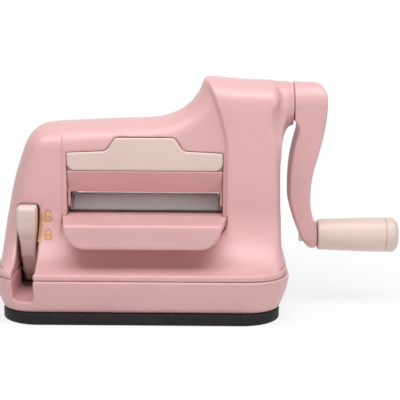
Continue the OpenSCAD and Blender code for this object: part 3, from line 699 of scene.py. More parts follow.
@dataclass
class NodeBench:
    """Builds the node tree of one material."""

    name: str
    material: bpy.types.Material = field(init=False)
    shader: bpy.types.Node = field(init=False)
    coords: Socket = field(init=False)

    def __post_init__(self) -> None:
        """Makes the material with its surface shader."""
        self.material = bpy.data.materials.new(self.name)
        self.material.use_nodes = True
        self.shader = self.material.node_tree.nodes["Principled BSDF"]
        self.coords = self.add("ShaderNodeTexCoord").outputs["Object"]

    def add(self, kind: str, **values: object) -> bpy.types.Node:
        """Adds a node of Blender's type kind and sets its inputs by name."""
        return fill_in(self.material.node_tree.nodes.new(kind), values)

    def put(self, **values: object) -> None:
        """Sets inputs of the surface shader by name."""
        fill_in(self.shader, values)

    def link(self, out: Socket, into: Socket) -> None:
        """Joins two sockets."""
        self.material.node_tree.links.new(out, into)

    def noise(self, scale: float, detail: float = 2.0, stretch: Place | None = None) -> Socket:
        """Noise in object space.

        Args:
            scale: Features per metre.
            detail: Octaves.
            stretch: Factors on the three axes, or None.

        Returns:
            The noise's value socket.
        """
        node = self.add("ShaderNodeTexNoise", Scale=scale, Detail=detail)
        source = self.coords
        if stretch:
            mapping = self.add("ShaderNodeMapping", Scale=stretch)
            self.link(source, mapping.inputs["Vector"])
            source = mapping.outputs["Vector"]
        self.link(source, node.inputs["Vector"])
        return node.outputs["Fac"]

    def spread(self, value: Socket, low: float, high: float, start: float = 0.35,
               end: float = 0.65) -> Socket:
        """Maps a value from one range to another.

        Args:
            value: The value's socket.
            low: Result at the start.
            high: Result at the end.
            start: Value at which the range begins.
            end: Value at which it ends.

        Returns:
            The result's socket.
        """
        node = self.add("ShaderNodeMapRange", From_Min=start, From_Max=end, To_Min=low,
                        To_Max=high)
        self.link(value, node.inputs["Value"])
        return node.outputs["Result"]

    def blend(self, amount: Socket, a: Socket | Rgba, b: Socket | Rgba) -> Socket:
        """Mixes two colours.

        Args:
            amount: Share of the second colour.
            a: First colour or its socket.
            b: Second colour or its socket.

        Returns:
            The mixed colour's socket.
        """
        node = self.add("ShaderNodeMix")
        node.data_type = "RGBA"
        self.link(amount, node.inputs["Factor"])
        for socket, source in zip((node.inputs[6], node.inputs[7]), (a, b)):
            if isinstance(source, bpy.types.NodeSocket):
                self.link(source, socket)
            else:
                socket.default_value = source
        return node.outputs[2]

    def paint(self, colour: Socket) -> None:
        """Gives the surface its colour."""
        self.link(colour, self.shader.inputs["Base Color"])

    def gloss(self, value: Socket, middle: float, less: float, more: float) -> None:
        """Lets the roughness follow a value, from middle - less to middle + more."""
        self.link(self.spread(value, middle - less, middle + more),
                  self.shader.inputs["Roughness"])

    def bump(self, *heights: tuple[Socket, float]) -> None:
        """Adds bumps to the surface.

        Args:
            *heights: Height sockets, each with its depth in metres.
        """
        normal = None
        for height, depth in heights:
            node = self.add("ShaderNodeBump", Strength=1.0, Distance=depth)
            self.link(height, node.inputs["Height"])
            if normal is not None:
                self.link(normal, node.inputs["Normal"])
            normal = node.outputs["Normal"]
        self.link(normal, self.shader.inputs["Normal"])


@dataclass(frozen=True)
class Finish:
    """What every finish has."""

    look: Look
    colour: tuple[int, int, int]
    roughness: float

    def build(self) -> bpy.types.Material:
        """Makes the material.

        Returns:
            The material.
        """
        bench = NodeBench(self.look.value)
        self.work(bench)
        return bench.material

    def work(self, bench: NodeBench) -> None:
        """Wires the nodes of this finish."""
        raise NotImplementedError


@dataclass(frozen=True)
class Moulded(Finish):
    """Satin moulded plastic: faint clouding, a fine spark-eroded grain, paler worn edges."""

    roughness: float = 0.42
    clouding: float = 0.025
    grain: float = 0.000012
    wear: float = 0.18
    coat: float = 0.0
    ior: float = 1.5
    bleed: float = 0.0
    bleed_radius: tuple[float, float, float] = (0.006, 0.005, 0.0045)

    def work(self, bench: NodeBench) -> None:
        """Wires clouding, wear, grain and, where light gets in, its bleeding.

        Args:
            bench: The material's nodes.
        """
        clouds = bench.blend(bench.spread(bench.noise(38, 3), 0, 1),
                             tint(self.colour, 1 - self.clouding),
                             tint(self.colour, 1 + self.clouding))
        edge = bench.add("ShaderNodeNewGeometry").outputs["Pointiness"]
        bench.paint(bench.blend(bench.spread(edge, 0, self.wear, 0.52, 0.62), clouds,
                                tint(self.colour, 0.6, 0.4)))
        bench.gloss(bench.noise(900, 2), self.roughness, 0.04, 0.04)
        bench.put(IOR=self.ior, Coat_Weight=self.coat, Coat_Roughness=0.3)
        if self.bleed:
            bench.put(Subsurface_Weight=self.bleed, Subsurface_Radius=self.bleed_radius,
                      Subsurface_Scale=1.0)
        bench.bump((bench.noise(2600, 2), self.grain), (bench.noise(60, 1), self.grain * 2))


@dataclass(frozen=True)
class Metal(Finish):
    """Plated or sintered metal, with drawing lines along one axis."""

    roughness: float = 0.3
    lines: tuple[float, float, float] = (1.0, 1.0, 24.0)
    depth: float = 0.000006

    def work(self, bench: NodeBench) -> None:
        """Wires stains and drawing lines.

        Args:
            bench: The material's nodes.
        """
        stain = bench.spread(bench.noise(120, 4), 0, 1)
        bench.paint(bench.blend(stain, tint(self.colour, 0.82), tint(self.colour)))
        bench.put(Metallic=1.0)
        drawn = bench.noise(160, 3, self.lines)
        bench.gloss(drawn, self.roughness, 0.08, 0.1)
        bench.bump((drawn, self.depth))


@dataclass(frozen=True)
class Rubber(Finish):
    """Matt rubber with a fine dusty bloom."""

    roughness: float = 0.62

    def work(self, bench: NodeBench) -> None:
        """Wires the bloom and the grain.

        Args:
            bench: The material's nodes.
        """
        bloom = bench.spread(bench.noise(70, 5), 0, 1, 0.45, 0.75)
        bench.paint(bench.blend(bloom, tint(self.colour), tint(self.colour, 1.4, 0.001)))
        bench.gloss(bench.noise(500, 2), self.roughness, 0.07, 0.07)
        bench.put(Specular_IOR_Level=0.3)
        bench.bump((bench.noise(1500, 3), 0.00004))


@dataclass(frozen=True)
class Foil(Finish):
    """Gold hot-foil print, slightly broken up by the grain under it."""

    roughness: float = 0.36

    def work(self, bench: NodeBench) -> None:
        """Wires the specks and the grain.

        Args:
            bench: The material's nodes.
        """
        speck = bench.spread(bench.noise(1300, 3), 0, 1)
        bench.paint(bench.blend(speck, tint(self.colour), tint(self.colour, 1.25)))
        bench.put(Metallic=0.35)
        bench.gloss(bench.noise(800, 2), self.roughness, 0.08, 0.08)
        bench.bump((bench.noise(2600, 2), 0.00001))


@dataclass
class FinishShelf:
    """The machine's finishes, each made once."""

    made: dict[Look, bpy.types.Material] = field(default_factory=dict)

    FINISHES = (
        Moulded(Look.PINK, (218, 170, 170), ior=1.6),
        Moulded(Look.CREAM, (222, 200, 190), 0.4),
        Moulded(Look.ROLLER, (248, 246, 246), 0.26, clouding=0.01, wear=0.0, coat=0.3, bleed=0.6),
        Moulded(Look.NYLON, (228, 227, 220), 0.5, bleed=0.1),
        Rubber(Look.RUBBER, (17, 12, 14)),
        # painted shade: this dark reddish colour stands for the shadow in the gap between shelf
        # and roller
        Rubber(Look.SEAL, (88, 58, 60)),
        Metal(Look.STEEL, (196, 198, 203)),
        Metal(Look.BRONZE, (178, 137, 84), 0.42, lines=(1.0, 1.0, 1.0)),
        Foil(Look.FOIL, (178, 134, 92)),
    )

    def __post_init__(self) -> None:
        """Makes every finish."""
        for finish in self.FINISHES:
            self.made[finish.look] = finish.build()

    def dress(self, obj: bpy.types.Object, look: Look) -> None:
        """Gives an object a finish in all its material slots.

        Args:
            obj: The object.
            look: The finish.
        """
        slots = obj.data.materials
        if not slots:
            slots.append(self.made[look])
        for i in range(len(slots)):
            slots[i] = self.made[look]

    def seat(self, obj: bpy.types.Object, body: str, slot: Look, *nodes: str,
             look: Look | None = None) -> None:
        """Dresses a piece, lets it ride on its body and stand for its CAD nodes.

        Args:
            obj: The piece.
            body: Body that it moves with.
            slot: The record's material slot.
            *nodes: CAD nodes that it replaces.
            look: Finish, if it isn't the slot's own.
        """
        self.dress(obj, look or slot)
        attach(obj, body)
        if nodes:
            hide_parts(*nodes)
        LOG.info("%s rides on %s, %d faces", obj.name, body, len(obj.data.polygons))


@dataclass
class SubAssembly:
    """A group of pieces that shares the driving sizes and the shelf of finishes."""

    d: Datum
    finishes: FinishShelf

    def carve(self, name: str, shape: Shape, node: str, body: str, slot: Look, cell: float,
              side: Side = Side.FRONT, look: Look | None = None) -> None:
        """Meshes a shape in the room of its CAD node and seats it there.

        Args:
            name: Name of the piece.
            shape: The shape, written for the front.
            node: CAD node that it replaces.
            body: Body that it moves with.
            slot: The record's material slot.
            cell: Size of the mesh.
            side: Side that it lies on.
            look: Finish, if it isn't the slot's own.
        """
        low, high = node_box(node)
        obj = Mesher(cell).build(name, side.faced(shape), low, high)
        self.finishes.seat(obj, body, slot, node, look=look)


# ---- the moulded body ----------------------------------------------------------------------


@dataclass
class BodySkin:
    """Outer skin of the upper body: pillowed upright, proud tower, concave sweep to the foot."""

    d: Datum
    upright: float = 27.0
    bridge_z: float = 102.5
    sweep_h: float = 32.0
    edge_round: float = 13.0
    side_round: float = 5.0
    side_more: float = 4.0
    recess: float = 2.2
    recess_ease: float = 2.4
    lip_h: float = 3.0
    lip_in: float = 0.7
    pillow: float = 2.5
    taper: float = 0.035
    face_low: float = 14.5
    face_lean: float = 10.0
    corner_round: float = 9.0
    shrink: float = 0.06
    most: float = 4.5
    horn_spread: float = 19.0
    horn_root: float = 6.0
    horn_deepen: float = 0.22
    hub_gap: float = 0.06
    crest: Table = field(init=False)
    top: Table = field(init=False)

    def __post_init__(self) -> None:
        """Samples the distances to the crest and to its part over the top."""
        line = self.crest_line()
        deep = self.d.seam_z - 60
        closed = np.vstack([[line[0][0], deep], line, [line[-1][0], deep]])
        self.crest = Outline(closed).tabled(0.4, 6)
        over = line[line[:, 0] <= self.d.wall_right - 2]
        far = over[-1][0] + 60
        self.top = Outline(np.vstack([[over[0][0], deep], over, [far, over[-1][1] - 12],
                                      [far, deep]])).tabled(0.4, 6)

    def crest_line(self) -> np.ndarray:
        """Front view of the body: shoulder, bridge, sweep up to the tower, right wall.

        Returns:
            The points of the line as (x, z).
        """
        w, seam, top, left = self.d.half_w, self.d.seam_z, self.bridge_z, self.d.win_l
        up, tower, right = top - seam, self.d.tower_z, self.d.wall_right
        rise = tower - top
        return catmull_run([
            (0.2 - w, seam + 1), (0.9 - w, seam + 7), (2.0 - w, seam + 16), (4.8 - w, seam + 32),
            (7.7 - w, seam + 0.59 * up), (10.4 - w, seam + 0.705 * up),
            (12.6 - w, seam + 0.79 * up), (15.2 - w, seam + 0.872 * up),
            (18.7 - w, seam + 0.93 * up), (23.5 - w, top - 2.5), (32 - w, top - 1.2),
            (left + 14, top), (left + 32, top + 0.8), (left + 46, top + 1.4),
            (left + 54, top + 2.9), (left + 61.5, top + 6.2), (left + 66.5, top + 0.46 * rise),
            (left + 70, top + 0.66 * rise), (left + 72.3, top + 0.85 * rise),
            (left + 74, tower + 1.0), (left + 77, tower + 2.4), (left + 84, tower + 1.9),
            (left + 94, tower + 1.0), (right - 6, tower + 0.3), (right - 2, tower - 1.2),
            (right - 0.5, tower - 5), (right - 0.2, self.d.crank_z - 2), (right, 88),
            (right + 0.4, 60), (right + 1.2, seam + 22), (right + 2.2, seam + 11),
            (w - 0.6, seam + 5), (w - 0.2, seam + 1)], 10)

    def tower_edge(self, z: Values) -> Values:
        """Where the tower's proud face begins, further left the higher it is.

        Args:
            z: Heights.

        Returns:
            The edge's X at each height.
        """
        rise = self.d.tower_z - self.bridge_z
        share = np.maximum(0, (z - self.bridge_z + self.face_low) / (rise + self.face_low))
        return self.d.win_r + 1.4 - self.face_lean * share**1.6

    def half_thick(self, x: Values, z: Values) -> Values:
        """Half the upright's thickness; the bridge lies a little behind its neighbours.

        Args:
            x: X of each point.
            z: Z of each point.

        Returns:
            Half the thickness at each point.
        """
        left = (x - self.d.win_l + 3.2) / self.recess_ease
        right = (self.tower_edge(z) + 1.2 - x) / self.recess_ease
        above = ease((z - self.d.shelf_z + 14) / 12)
        return (self.upright - self.taper * (z - self.d.shelf_z)
                - self.recess * ease(left) * ease(right) * above)

    def plan(self, x: Values) -> Values:
        """Half depth of the foot at the seam.

        Args:
            x: X of each place.

        Returns:
            The half depth at each place.
        """
        r = self.d.plan_r
        u = np.maximum(np.abs(x) - (self.d.half_w - r), 0)
        return self.d.half_d - r + np.sqrt(np.maximum(0, r**2 - u**2))

    def nearness(self, x: Values, z: Values) -> Values:
        """How far the pillowed edges have closed: 0 on the flat face, 1 at the crest.

        Below the crank the right wall is rounded more broadly, and beside the hub its
        rounding follows the wall alone, so that the top runs on straight into the hub.

        Args:
            x: X of each point.
            z: Z of each point.

        Returns:
            The closure at each point.
        """
        top = np.maximum(1 + self.top(x, z) / self.edge_round, 0)
        level = z - self.d.crank_z
        high = ease((level + 24) / 14)
        broad = self.side_round + self.side_more * high * ease((4 - level) / 10)
        gap = self.crest(x, z)
        side = np.maximum(1 + (gap + high * (x - self.d.wall_right - gap)) / broad, 0)
        wall = ease((x - self.d.wall_right + 16) / 8)
        return top**self.pillow + wall * side**self.pillow

    def depth(self, x: Values, z: Values) -> Values:
        """Depth of the outer surface in front of the middle plane.

        Args:
            x: X of each point.
            z: Z of each point.

        Returns:
            The depth at each point.
        """
        face = (self.half_thick(x, z)
                * np.clip(1 - self.nearness(x, z), 0, 1) ** (1 / self.pillow))
        s = (z - self.d.seam_z - self.lip_h) / (self.sweep_h - self.lip_h)
        flare = 1 - np.sqrt(1 - np.clip(1 - s, 0, 1) ** 2)
        ledge = self.plan(x) - self.lip_in
        lip = self.plan(x) - self.lip_in * ease(1 + s * self.lip_h / 1.2)
        return np.where(s <= 0, lip, face + (ledge - face) * flare)

    def _raw(self, p: Points) -> Values:
        """Unscaled form of the skin: pillowed above the sweep, by its depth below.

        Args:
            p: Where to look.

        Returns:
            Values that are negative inside.
        """
        x, y, z = p[:, 0], np.abs(p[:, 1]), p[:, 2]
        high = ((y / self.half_thick(x, z)) ** self.pillow
                + self.nearness(x, z)) ** (1 / self.pillow) - 1
        return np.where(z >= self.d.seam_z + self.sweep_h, high * self.edge_round,
                        y - self.depth(x, z))

    def outer(self, p: Points) -> Values:
        """Signed distance to the outer skin; outside it stays low enough for the mesher.

        Args:
            p: Where to look.

        Returns:
            The distance at each point.
        """
        scaled = np.minimum(steady(self._raw, p), self.most)
        s = np.clip((p[:, 2] - self.d.seam_z) / self.sweep_h, 0, 1)
        return smooth_max(scaled, self.crest(p[:, 0], p[:, 2]),
                          self.corner_round * (1 - ease(s))) + self.shrink

    def horn(self, p: Points) -> Values:
        """Swept foot of the crank hub on the tower's right wall.

        Args:
            p: Where to look.

        Returns:
            The signed distance at each point.
        """
        x0, x1 = self.d.wall_right - 0.5, self.d.hub_x - self.hub_gap
        r1, mid = self.d.hub_r, self.d.crank_z
        along = np.clip((x1 - p[:, 0]) / (x1 - x0), 0, 1)
        y = p[:, 1] / (1 + self.horn_deepen * along)
        swept = r1 - 0.3 * ease(along) + self.horn_spread * (1 - np.sqrt(1 - along**2))
        arch = Outline(np.vstack([
            arc(0, mid, r1, 20, 160, 16),
            [(-r1 - 6, mid - 20), (-r1 - 5, mid - 32),
             (r1 + 5, mid - 32), (r1 + 6, mid - 20)]]))
        body = smooth_max((np.hypot(y, p[:, 2] - mid) - swept) * 0.75,
                          arch.exact(y, p[:, 2]), 2.5)
        return smooth_max(body, between(p[:, 0], x0 - self.horn_root, x1), 0.15)


@dataclass
class UpperHousing(SubAssembly):
    """One half of the upper body, with its window, shelf seat, liners and screw wells."""

    skin: BodySkin
    liner: float = 2.2
    mid_gap: float = 0.12
    rim: float = 0.9
    window_gap: float = 0.16
    lip_down: float = 0.2
    seat_y: float = -25.6
    seat_gap: float = 0.15
    seat_wing: float = 2.1
    roller_room: float = 12.4
    well_back: float = -1.7
    slot_back: float = -2.0
    slot_edge: float = 1.5
    boss_r: float = 2.9
    screw_r: float = 1.7
    bore_r: float = 4.4
    bore_from: float = 60.0
    cell: float = 0.8

    def screws(self) -> list[tuple[float, float]]:
        """X and Z of the housing screws, from their nodes."""
        mids = [node_mid(f"screw_{i}") for i in range(1, 6)]
        return [(m[0], m[2]) for m in mids]

    def well_walls(self, x: Values, y: Values, z: Values) -> list[Values]:
        """Walls of the lever's well: one on each side and one behind.

        Args:
            x: X of each point.
            y: Y of each point.
            z: Z of each point.

        Returns:
            The distances to each wall.
        """
        d, reach = self.d, self.d.slot_w / 2
        tall = between(z, d.seam_z - 2, d.lever_top + 2)
        walls = [np.maximum(between(x, a, a + d.well_wall), tall)
                 for a in (d.lever_x - reach - d.well_wall, d.lever_x + reach)]
        back = np.maximum(between(x, d.lever_x - reach, d.lever_x + reach),
                          between(y, self.well_back, 0))
        return walls + [np.maximum(back, tall)]

    def shape(self, side: Side) -> Shape:
        """Signed distance of a half, written for the front.

        Args:
            side: Which half.

        Returns:
            The shape.
        """
        d, screws = self.d, self.screws()
        window = Outline(tray_outline(d, d.shelf_z - 4, 0.7)).tabled(0.3, 12)
        seat, passage = (
            Outline(shelf_outline(d, d.win_l - w, d.win_r + w, -self.seat_gap)).tabled(0.3, 12)
            for w in (self.seat_wing, 0.0))

        def solid(p: Points) -> Values:
            """Signed distance at each point.

            Args:
                p: Where to look.

            Returns:
                The distances, negative inside.
            """
            x, y, z = p.T
            fill = 2.0 + 3.0 * ease((d.crank_z + 4 - z) / 8)
            body = self.skin.outer(p)
            skin = smooth_min(body, self.skin.horn(p), fill)
            # hollowed by the body alone, so that the horn stays solid out to its thin rim
            shell = np.maximum(skin, -(body + d.wall))
            walls = [np.maximum(between(x, a, a + self.liner),
                                between(z, d.seam_z + 8, d.tray_z1 + 1))
                     for a in (d.win_l - self.liner, d.win_r)]
            if side is Side.FRONT:
                walls += self.well_walls(x, y, z)
            walls += [np.hypot(x - sx, z - sz) - self.boss_r for sx, sz in screws]
            inner = np.maximum(np.minimum.reduce(walls), skin + 0.4)
            shell = smooth_min(shell, inner, 0.6)
            shell = smooth_max(shell, self.window_gap - window(x, z), self.rim)
            shell = cut(shell, np.maximum(seat(x, z), y - self.seat_y), 0.4)
            shell = cut(shell, passage(x, z))
            for cz in (d.lower_z, d.upper_z):
                shell = cut(shell, np.maximum(np.hypot(y, z - cz) - self.roller_room,
                                              between(x, d.win_l - 4, d.win_r + 4)))
            if side is Side.FRONT:
                high, low = d.lever_top - 0.5, d.seam_z - 12
                slot = plate_distance(x - d.lever_x, z - (high + low) / 2, d.slot_w / 2,
                                      (high - low) / 2, d.slot_corner)
                shell = cut(shell, np.maximum(slot, y - self.slot_back), self.slot_edge)
            else:
                for sx, sz in screws:
                    r = np.hypot(x - sx, z - sz)
                    shell = cut(shell, r - self.screw_r, 0.1)
                    shell = cut(shell, np.maximum(r - self.boss_r + 0.2, -skin - d.wall), 0.5)
            shell = cut(shell, np.maximum(np.hypot(y, z - d.crank_z) - self.bore_r,
                                          self.bore_from - x))
            shell = smooth_max(shell, d.seam_z - self.lip_down - z, 0.6)
            return smooth_max(shell, y + self.mid_gap, 0.5)

        return solid

    def build(self) -> None:
        """Makes both halves."""
        d = self.d
        for side in Side:
            y0, y1 = side.span(0, d.half_d)
            obj = Mesher(self.cell).build(
                f"upper_shell_{side.word}", side.faced(self.shape(side)),
                (-d.half_w, y0, d.seam_z), (d.hub_x, y1, d.tower_z + 2.4))
            self.finishes.seat(obj, "base", Look.PINK, f"upper_housing_{side.word}")


def tray_outline(d: Datum, bottom: float, corner: float) -> np.ndarray:
    """Outline of the closed tray with its finger tab.

    Args:
        d: Driving sizes.
        bottom: Z of its lower edge.
        corner: Radius of its shoulders.

    Returns:
        The points of the outline.
    """
    left, right = d.tray_l, d.tray_r
    mid, head, foot = (left + right) / 2, 15.9, 20.7
    head_r, foot_r = 3.2, 4.5
    return filleted([
        (left, bottom, 0.0), (right, bottom, 0.0), (right, d.tray_end_z, corner),
        (mid + foot, d.tray_z1, foot_r), (mid + head, d.tray_z2, head_r),
        (mid - head, d.tray_z2, head_r), (mid - foot, d.tray_z1, foot_r),
        (left, d.tray_end_z, corner)])


def shelf_outline(d: Datum, x0: float, x1: float, inset: float = 0.0) -> np.ndarray:
    """Front outline of the shelf: straight along the top, well rounded below.

    Args:
        d: Driving sizes.
        x0: X of its left end.
        x1: X of its right end.
        inset: How far the outline is drawn in.

    Returns:
        The points of the outline.
    """
    low, high = d.shelf_low + inset, d.shelf_z - inset
    r = high - low - 1
    return np.vstack([[(x1 - inset, high), (x0 + inset, high)],
                      arc(x0 + inset + r, low + r, r, 180, 270),
                      arc(x1 - inset - r, low + r, r, 270, 360)])


@dataclass
class LowerHousing(SubAssembly):
    """Skirt of the foot with the lower end of the lever's well."""

    draw_in: float = 5.2
    shrink: float = 0.06
    steepness: float = 0.93
    toe_round: float = 1.1
    floor_h: float = 6.0
    mouth_in: tuple[float, float] = (12.0, 10.0)
    mouth_r: float = 15.0
    slot_rim: float = 1.5
    cell: float = 0.8

    def shape(self) -> Shape:
        """Signed distance of the skirt.

        Returns:
            The shape.
        """
        d = self.d
        low, high = node_box("lower_housing")
        z0, z1, floor = low[2], high[2], low[2] + self.floor_h
        top, reach, under = z1 + 14, d.slot_w / 2, floor - d.well_wall
        x0, x1 = d.lever_x - reach - d.well_wall, d.lever_x + reach + d.well_wall
        bars = ((-d.half_d, -18, z1 - 0.1), (-20, d.pivot_y + 3, floor), (-1.7, -0.2, z1 - 0.1))

        def solid(p: Points) -> Values:
            """Signed distance at each point.

            Args:
                p: Where to look.

            Returns:
                The distances, negative inside.
            """
            x, y, z = p.T
            share = np.clip((z - z0) / (z1 - z0), 0, 1)
            inset = self.draw_in * (1 - share) ** 1.6
            plan = plate_distance(x, y, d.half_w, d.half_d, d.plan_r) + inset + self.shrink
            outer = smooth_max(plan * self.steepness, z0 + 0.02 - z, self.toe_round)
            outer = smooth_max(outer, z - z1, 0.6)
            hollow = np.maximum(plan + d.wall, z0 + d.wall - z)
            mouth = plate_distance(x, y, d.half_w - self.mouth_in[0],
                                   d.half_d - self.mouth_in[1], self.mouth_r)
            shell = cut(outer, np.minimum(hollow, mouth))
            well = np.minimum.reduce([bar_distance(p, (x0, y0, under), (x1, y1, over))
                                      for y0, y1, over in bars])
            shell = smooth_min(shell, np.maximum(well, outer + 0.1), 0.5)
            slot = plate_distance(x - d.lever_x, z - (floor + top) / 2, reach,
                                  (top - floor) / 2, d.slot_corner)
            return cut(shell, np.maximum(slot, y - d.pivot_y - 3.2), self.slot_rim)

        return solid

    def build(self) -> None:
        """Makes the skirt."""
        self.carve("foot_skirt", self.shape(), "lower_housing", "base", Look.PINK, self.cell)


@dataclass
class Shelf(SubAssembly):
    """Fixed shelf in front of the rollers, one on each side, with a dark strip whose colour is
    painted shade for the gap under the roller.
    """

    edge: float = 1.9
    wing: float = 2.1
    taper: float = 3.4
    reach: float = 52.0
    back: float = 13.0
    upright: float = 25.8
    side_gap: float = 0.15
    rib_pitch: float = 21.0
    rib_half: float = 0.8
    strip_t: float = 1.5
    strip_seat: float = 1.0
    strip_r: float = 0.45
    cell: float = 0.6
    strip_cell: float = 0.3

    def shape(self) -> Shape:
        """Signed distance of the front shelf.

        Returns:
            The shape.
        """
        d = self.d
        broad, slender = (Outline(shelf_outline(d, d.win_l - w, d.win_r + w)).tabled(0.3, 8)
                          for w in (self.wing, -self.side_gap))
        inner = Outline(shelf_outline(d, d.win_l, d.win_r, d.wall)).tabled(0.3, 8)
        mid, half = (d.win_l + d.win_r) / 2, (d.win_r - d.win_l) / 2 + self.wing

        def solid(p: Points) -> Values:
            """Signed distance at each point.

            Args:
                p: Where to look.

            Returns:
                The distances, negative inside.
            """
            x, y, z = p.T
            share = np.clip((-self.upright - y) / (self.reach - self.upright), 0, 1)
            spread = mid + (x - mid) * half / (half - self.taper * share**0.8)
            front = smooth_max(broad(spread, z), between(y, -self.reach, -self.upright), self.edge)
            behind = np.maximum(slender(x, z), between(y, -self.upright - 1, -self.back))
            hollow = np.maximum(inner(spread, z), between(y, d.wall - self.reach, 0))
            ribs = np.minimum.reduce([np.abs(x - mid - self.rib_pitch * i) - self.rib_half
                                      for i in (-1, 0, 1)])
            hollow = cut(hollow, np.maximum(ribs, y + self.back + 4))
            rebate = bar_distance(
                p, (d.win_l, -self.back - self.strip_t, d.shelf_z - self.strip_seat),
                (d.win_r, 0, d.shelf_z + 1))
            return cut(cut(smooth_min(front, behind, 0.4), hollow, 0.4), rebate, 0.2)

        return solid

    def strip_shape(self) -> Shape:
        """Signed distance of the dark strip at the shelf's back edge, rounded along its top edges;
        its colour is painted shade for the gap under the roller.

        Returns:
            The shape.
        """
        low, high = node_box("dust_strip_front")
        mid, half = (low + high) / 2, (high - low) / 2

        def solid(p: Points) -> Values:
            """Signed distance at each point.

            Args:
                p: Where to look.

            Returns:
                The distances, negative inside.
            """
            q = p - mid
            section = plate_distance(q[:, 1], q[:, 2], half[1], half[2], self.strip_r)
            return smooth_max(section, np.abs(q[:, 0]) - half[0], 0.3)

        return solid

    def build(self) -> None:
        """Makes both shelves and their strips."""
        for side in Side:
            self.carve(f"feed_shelf_{side.word}", self.shape(), f"shelf_{side.word}", "base",
                       Look.PINK, self.cell, side)
            # the strip gets the dark reddish finish, painted shade for the gap between shelf and
            # roller
            self.carve(f"feed_strip_{side.word}", self.strip_shape(), f"dust_strip_{side.word}",
                       "base", Look.RUBBER, self.strip_cell, side, Look.SEAL)


@dataclass
class FeedTray(SubAssembly):
    """Folding tray: a pink frame with ears and pins, and a cream plate with a finger tab."""

    depth_out: float = 24.4
    depth_in: float = 16.2
    seat: float = 2.4
    seat_gap: float = 0.15
    plate_t: float = 2.3
    plate_r: float = 4.4
    tab_reach: float = 21.2
    hinge_y: float = 18.0
    toe_h: float = 5.2
    ear_r: float = 3.0
    ear_t: float = 1.2
    pin_r: float = 1.6
    pin_l: float = 2.4
    bays: int = 4
    rib: float = 2.2
    cell: float = 0.5

    def frame_shape(self) -> Shape:
        """Signed distance of the front tray's frame.

        Returns:
            The shape.
        """
        d = self.d
        left, right, top = d.tray_l, d.tray_r, d.tray_end_z
        hinge_z = node_box("tray_front_frame")[0][2] + self.ear_r
        toe_z, seat_y, seat_z = (hinge_z + self.toe_h, self.seat - self.depth_out,
                                 d.plate_z0 - self.seat_gap)
        side = Outline(filleted([
            (-self.hinge_y - 0.8, toe_z, 1.2), (-self.depth_out, seat_z, 0.5),
            (seat_y, seat_z, 0.0), (seat_y, top, 0.4),
            (-self.depth_in, top, 0.8), (-self.depth_in, toe_z, 0.6)]))
        bay = (right - left - self.rib) / self.bays

        def solid(p: Points) -> Values:
            """Signed distance at each point.

            Args:
                p: Where to look.

            Returns:
                The distances, negative inside.
            """
            x, y, z = p.T
            body = smooth_max(side.exact(y, z), between(x, left, right), 0.8)
            hinge = np.hypot(y + self.hinge_y, z - hinge_z)
            stalk = np.maximum(np.abs(y + self.hinge_y) - self.ear_r + 0.6,
                               between(z, hinge_z, toe_z + 1))
            ears = np.minimum(between(x, left, left + self.ear_t),
                              between(x, right - self.ear_t, right))
            ears = smooth_max(np.minimum(hinge - self.ear_r, stalk), ears, 0.4)
            pins = np.minimum(between(x, left - self.pin_l, left + 1),
                              between(x, right - 1, right + self.pin_l))
            pins = smooth_max(hinge - self.pin_r, pins, 0.4)
            body = np.minimum(smooth_min(body, ears, 0.8), pins)
            for i in range(self.bays):
                start = left + self.rib + i * bay
                hole = bar_distance(p, (start, -self.depth_out - 1, d.plate_z0 + 1.5),
                                    (start + bay - self.rib, -self.depth_in - 2, top - 1.5))
                body = cut(body, hole, 0.4)
            return body

        return solid

    def plate_shape(self) -> Shape:
        """Signed distance of the front tray's plate.

        Returns:
            The shape.
        """
        d, r, front = self.d, self.plate_r, -self.depth_out
        face = tray_outline(d, d.plate_z0, 0.7)
        left, right = face[:, 0].min(), face[:, 0].max()
        keep = face[face[:, 1] > d.plate_z0 + 1e-6]
        table = Outline(np.vstack([arc(left + r, d.plate_z0 + r, r, 180, 270, 8),
                                   arc(right - r, d.plate_z0 + r, r, 270, 360, 8),
                                   keep])).tabled(0.25, 6)

        def solid(p: Points) -> Values:
            """Signed distance at each point.

            Args:
                p: Where to look.

            Returns:
                The distances, negative inside.
            """
            x, y, z = p.T
            flat = table(x, z)
            sheet = smooth_max(flat, between(y, front, front + self.plate_t), 0.9)
            tab = np.maximum(between(y, front + 0.4, -self.depth_in - 2), d.tray_end_z + 0.1 - z)
            tab = np.maximum(tab, np.abs(x - (left + right) / 2) - self.tab_reach)
            return smooth_min(sheet, smooth_max(flat + 0.4, tab, 0.9), 0.4)

        return solid

    def build(self) -> None:
        """Makes both trays."""
        for side in Side:
            for part, shape, slot in (("frame", self.frame_shape(), Look.PINK),
                                      ("plate", self.plate_shape(), Look.CREAM)):
                self.carve(f"feed_tray_{side.word}_{part}", shape, f"tray_{side.word}_{part}",
                           side.body, slot, self.cell, side)


@dataclass
class Rollers(SubAssembly):
    """White sleeves with a collar turned at each end."""

    bore: float = 4.02
    chamfer: float = 0.5
    collar: float = 1.1
    groove_w: float = 0.7
    groove: float = 1.6

    def profile(self, x0: float, x1: float, r: float) -> np.ndarray:
        """Profile of a sleeve.

        Args:
            x0: X of its left end.
            x1: X of its right end.
            r: Its radius.

        Returns:
            The profile's points as (x, radius).
        """
        c, g0, g1 = self.chamfer, self.collar, self.collar + self.groove_w
        low = r - self.groove
        half = [(x0, self.bore), (x0, r - c), (x0 + c, r), (x0 + g0, r), (x0 + g0, low),
                (x0 + g1, low), (x0 + g1, r - c / 2), (x0 + g1 + c / 2, r)]
        other = [(x0 + x1 - x, rad) for x, rad in reversed(half)]
        return np.array((half + other)[::-1])

    def build(self) -> None:
        """Makes both sleeves."""
        for level, z in (("lower", self.d.lower_z), ("upper", self.d.upper_z)):
            low, high = node_box(f"{level}_sleeve")
            obj = turned(f"{level}_roller_sleeve",
                         self.profile(low[0], high[0], (high[2] - low[2]) / 2), (0.0, z))
            self.finishes.seat(obj, f"{level}_roller", Look.ROLLER, f"{level}_sleeve")


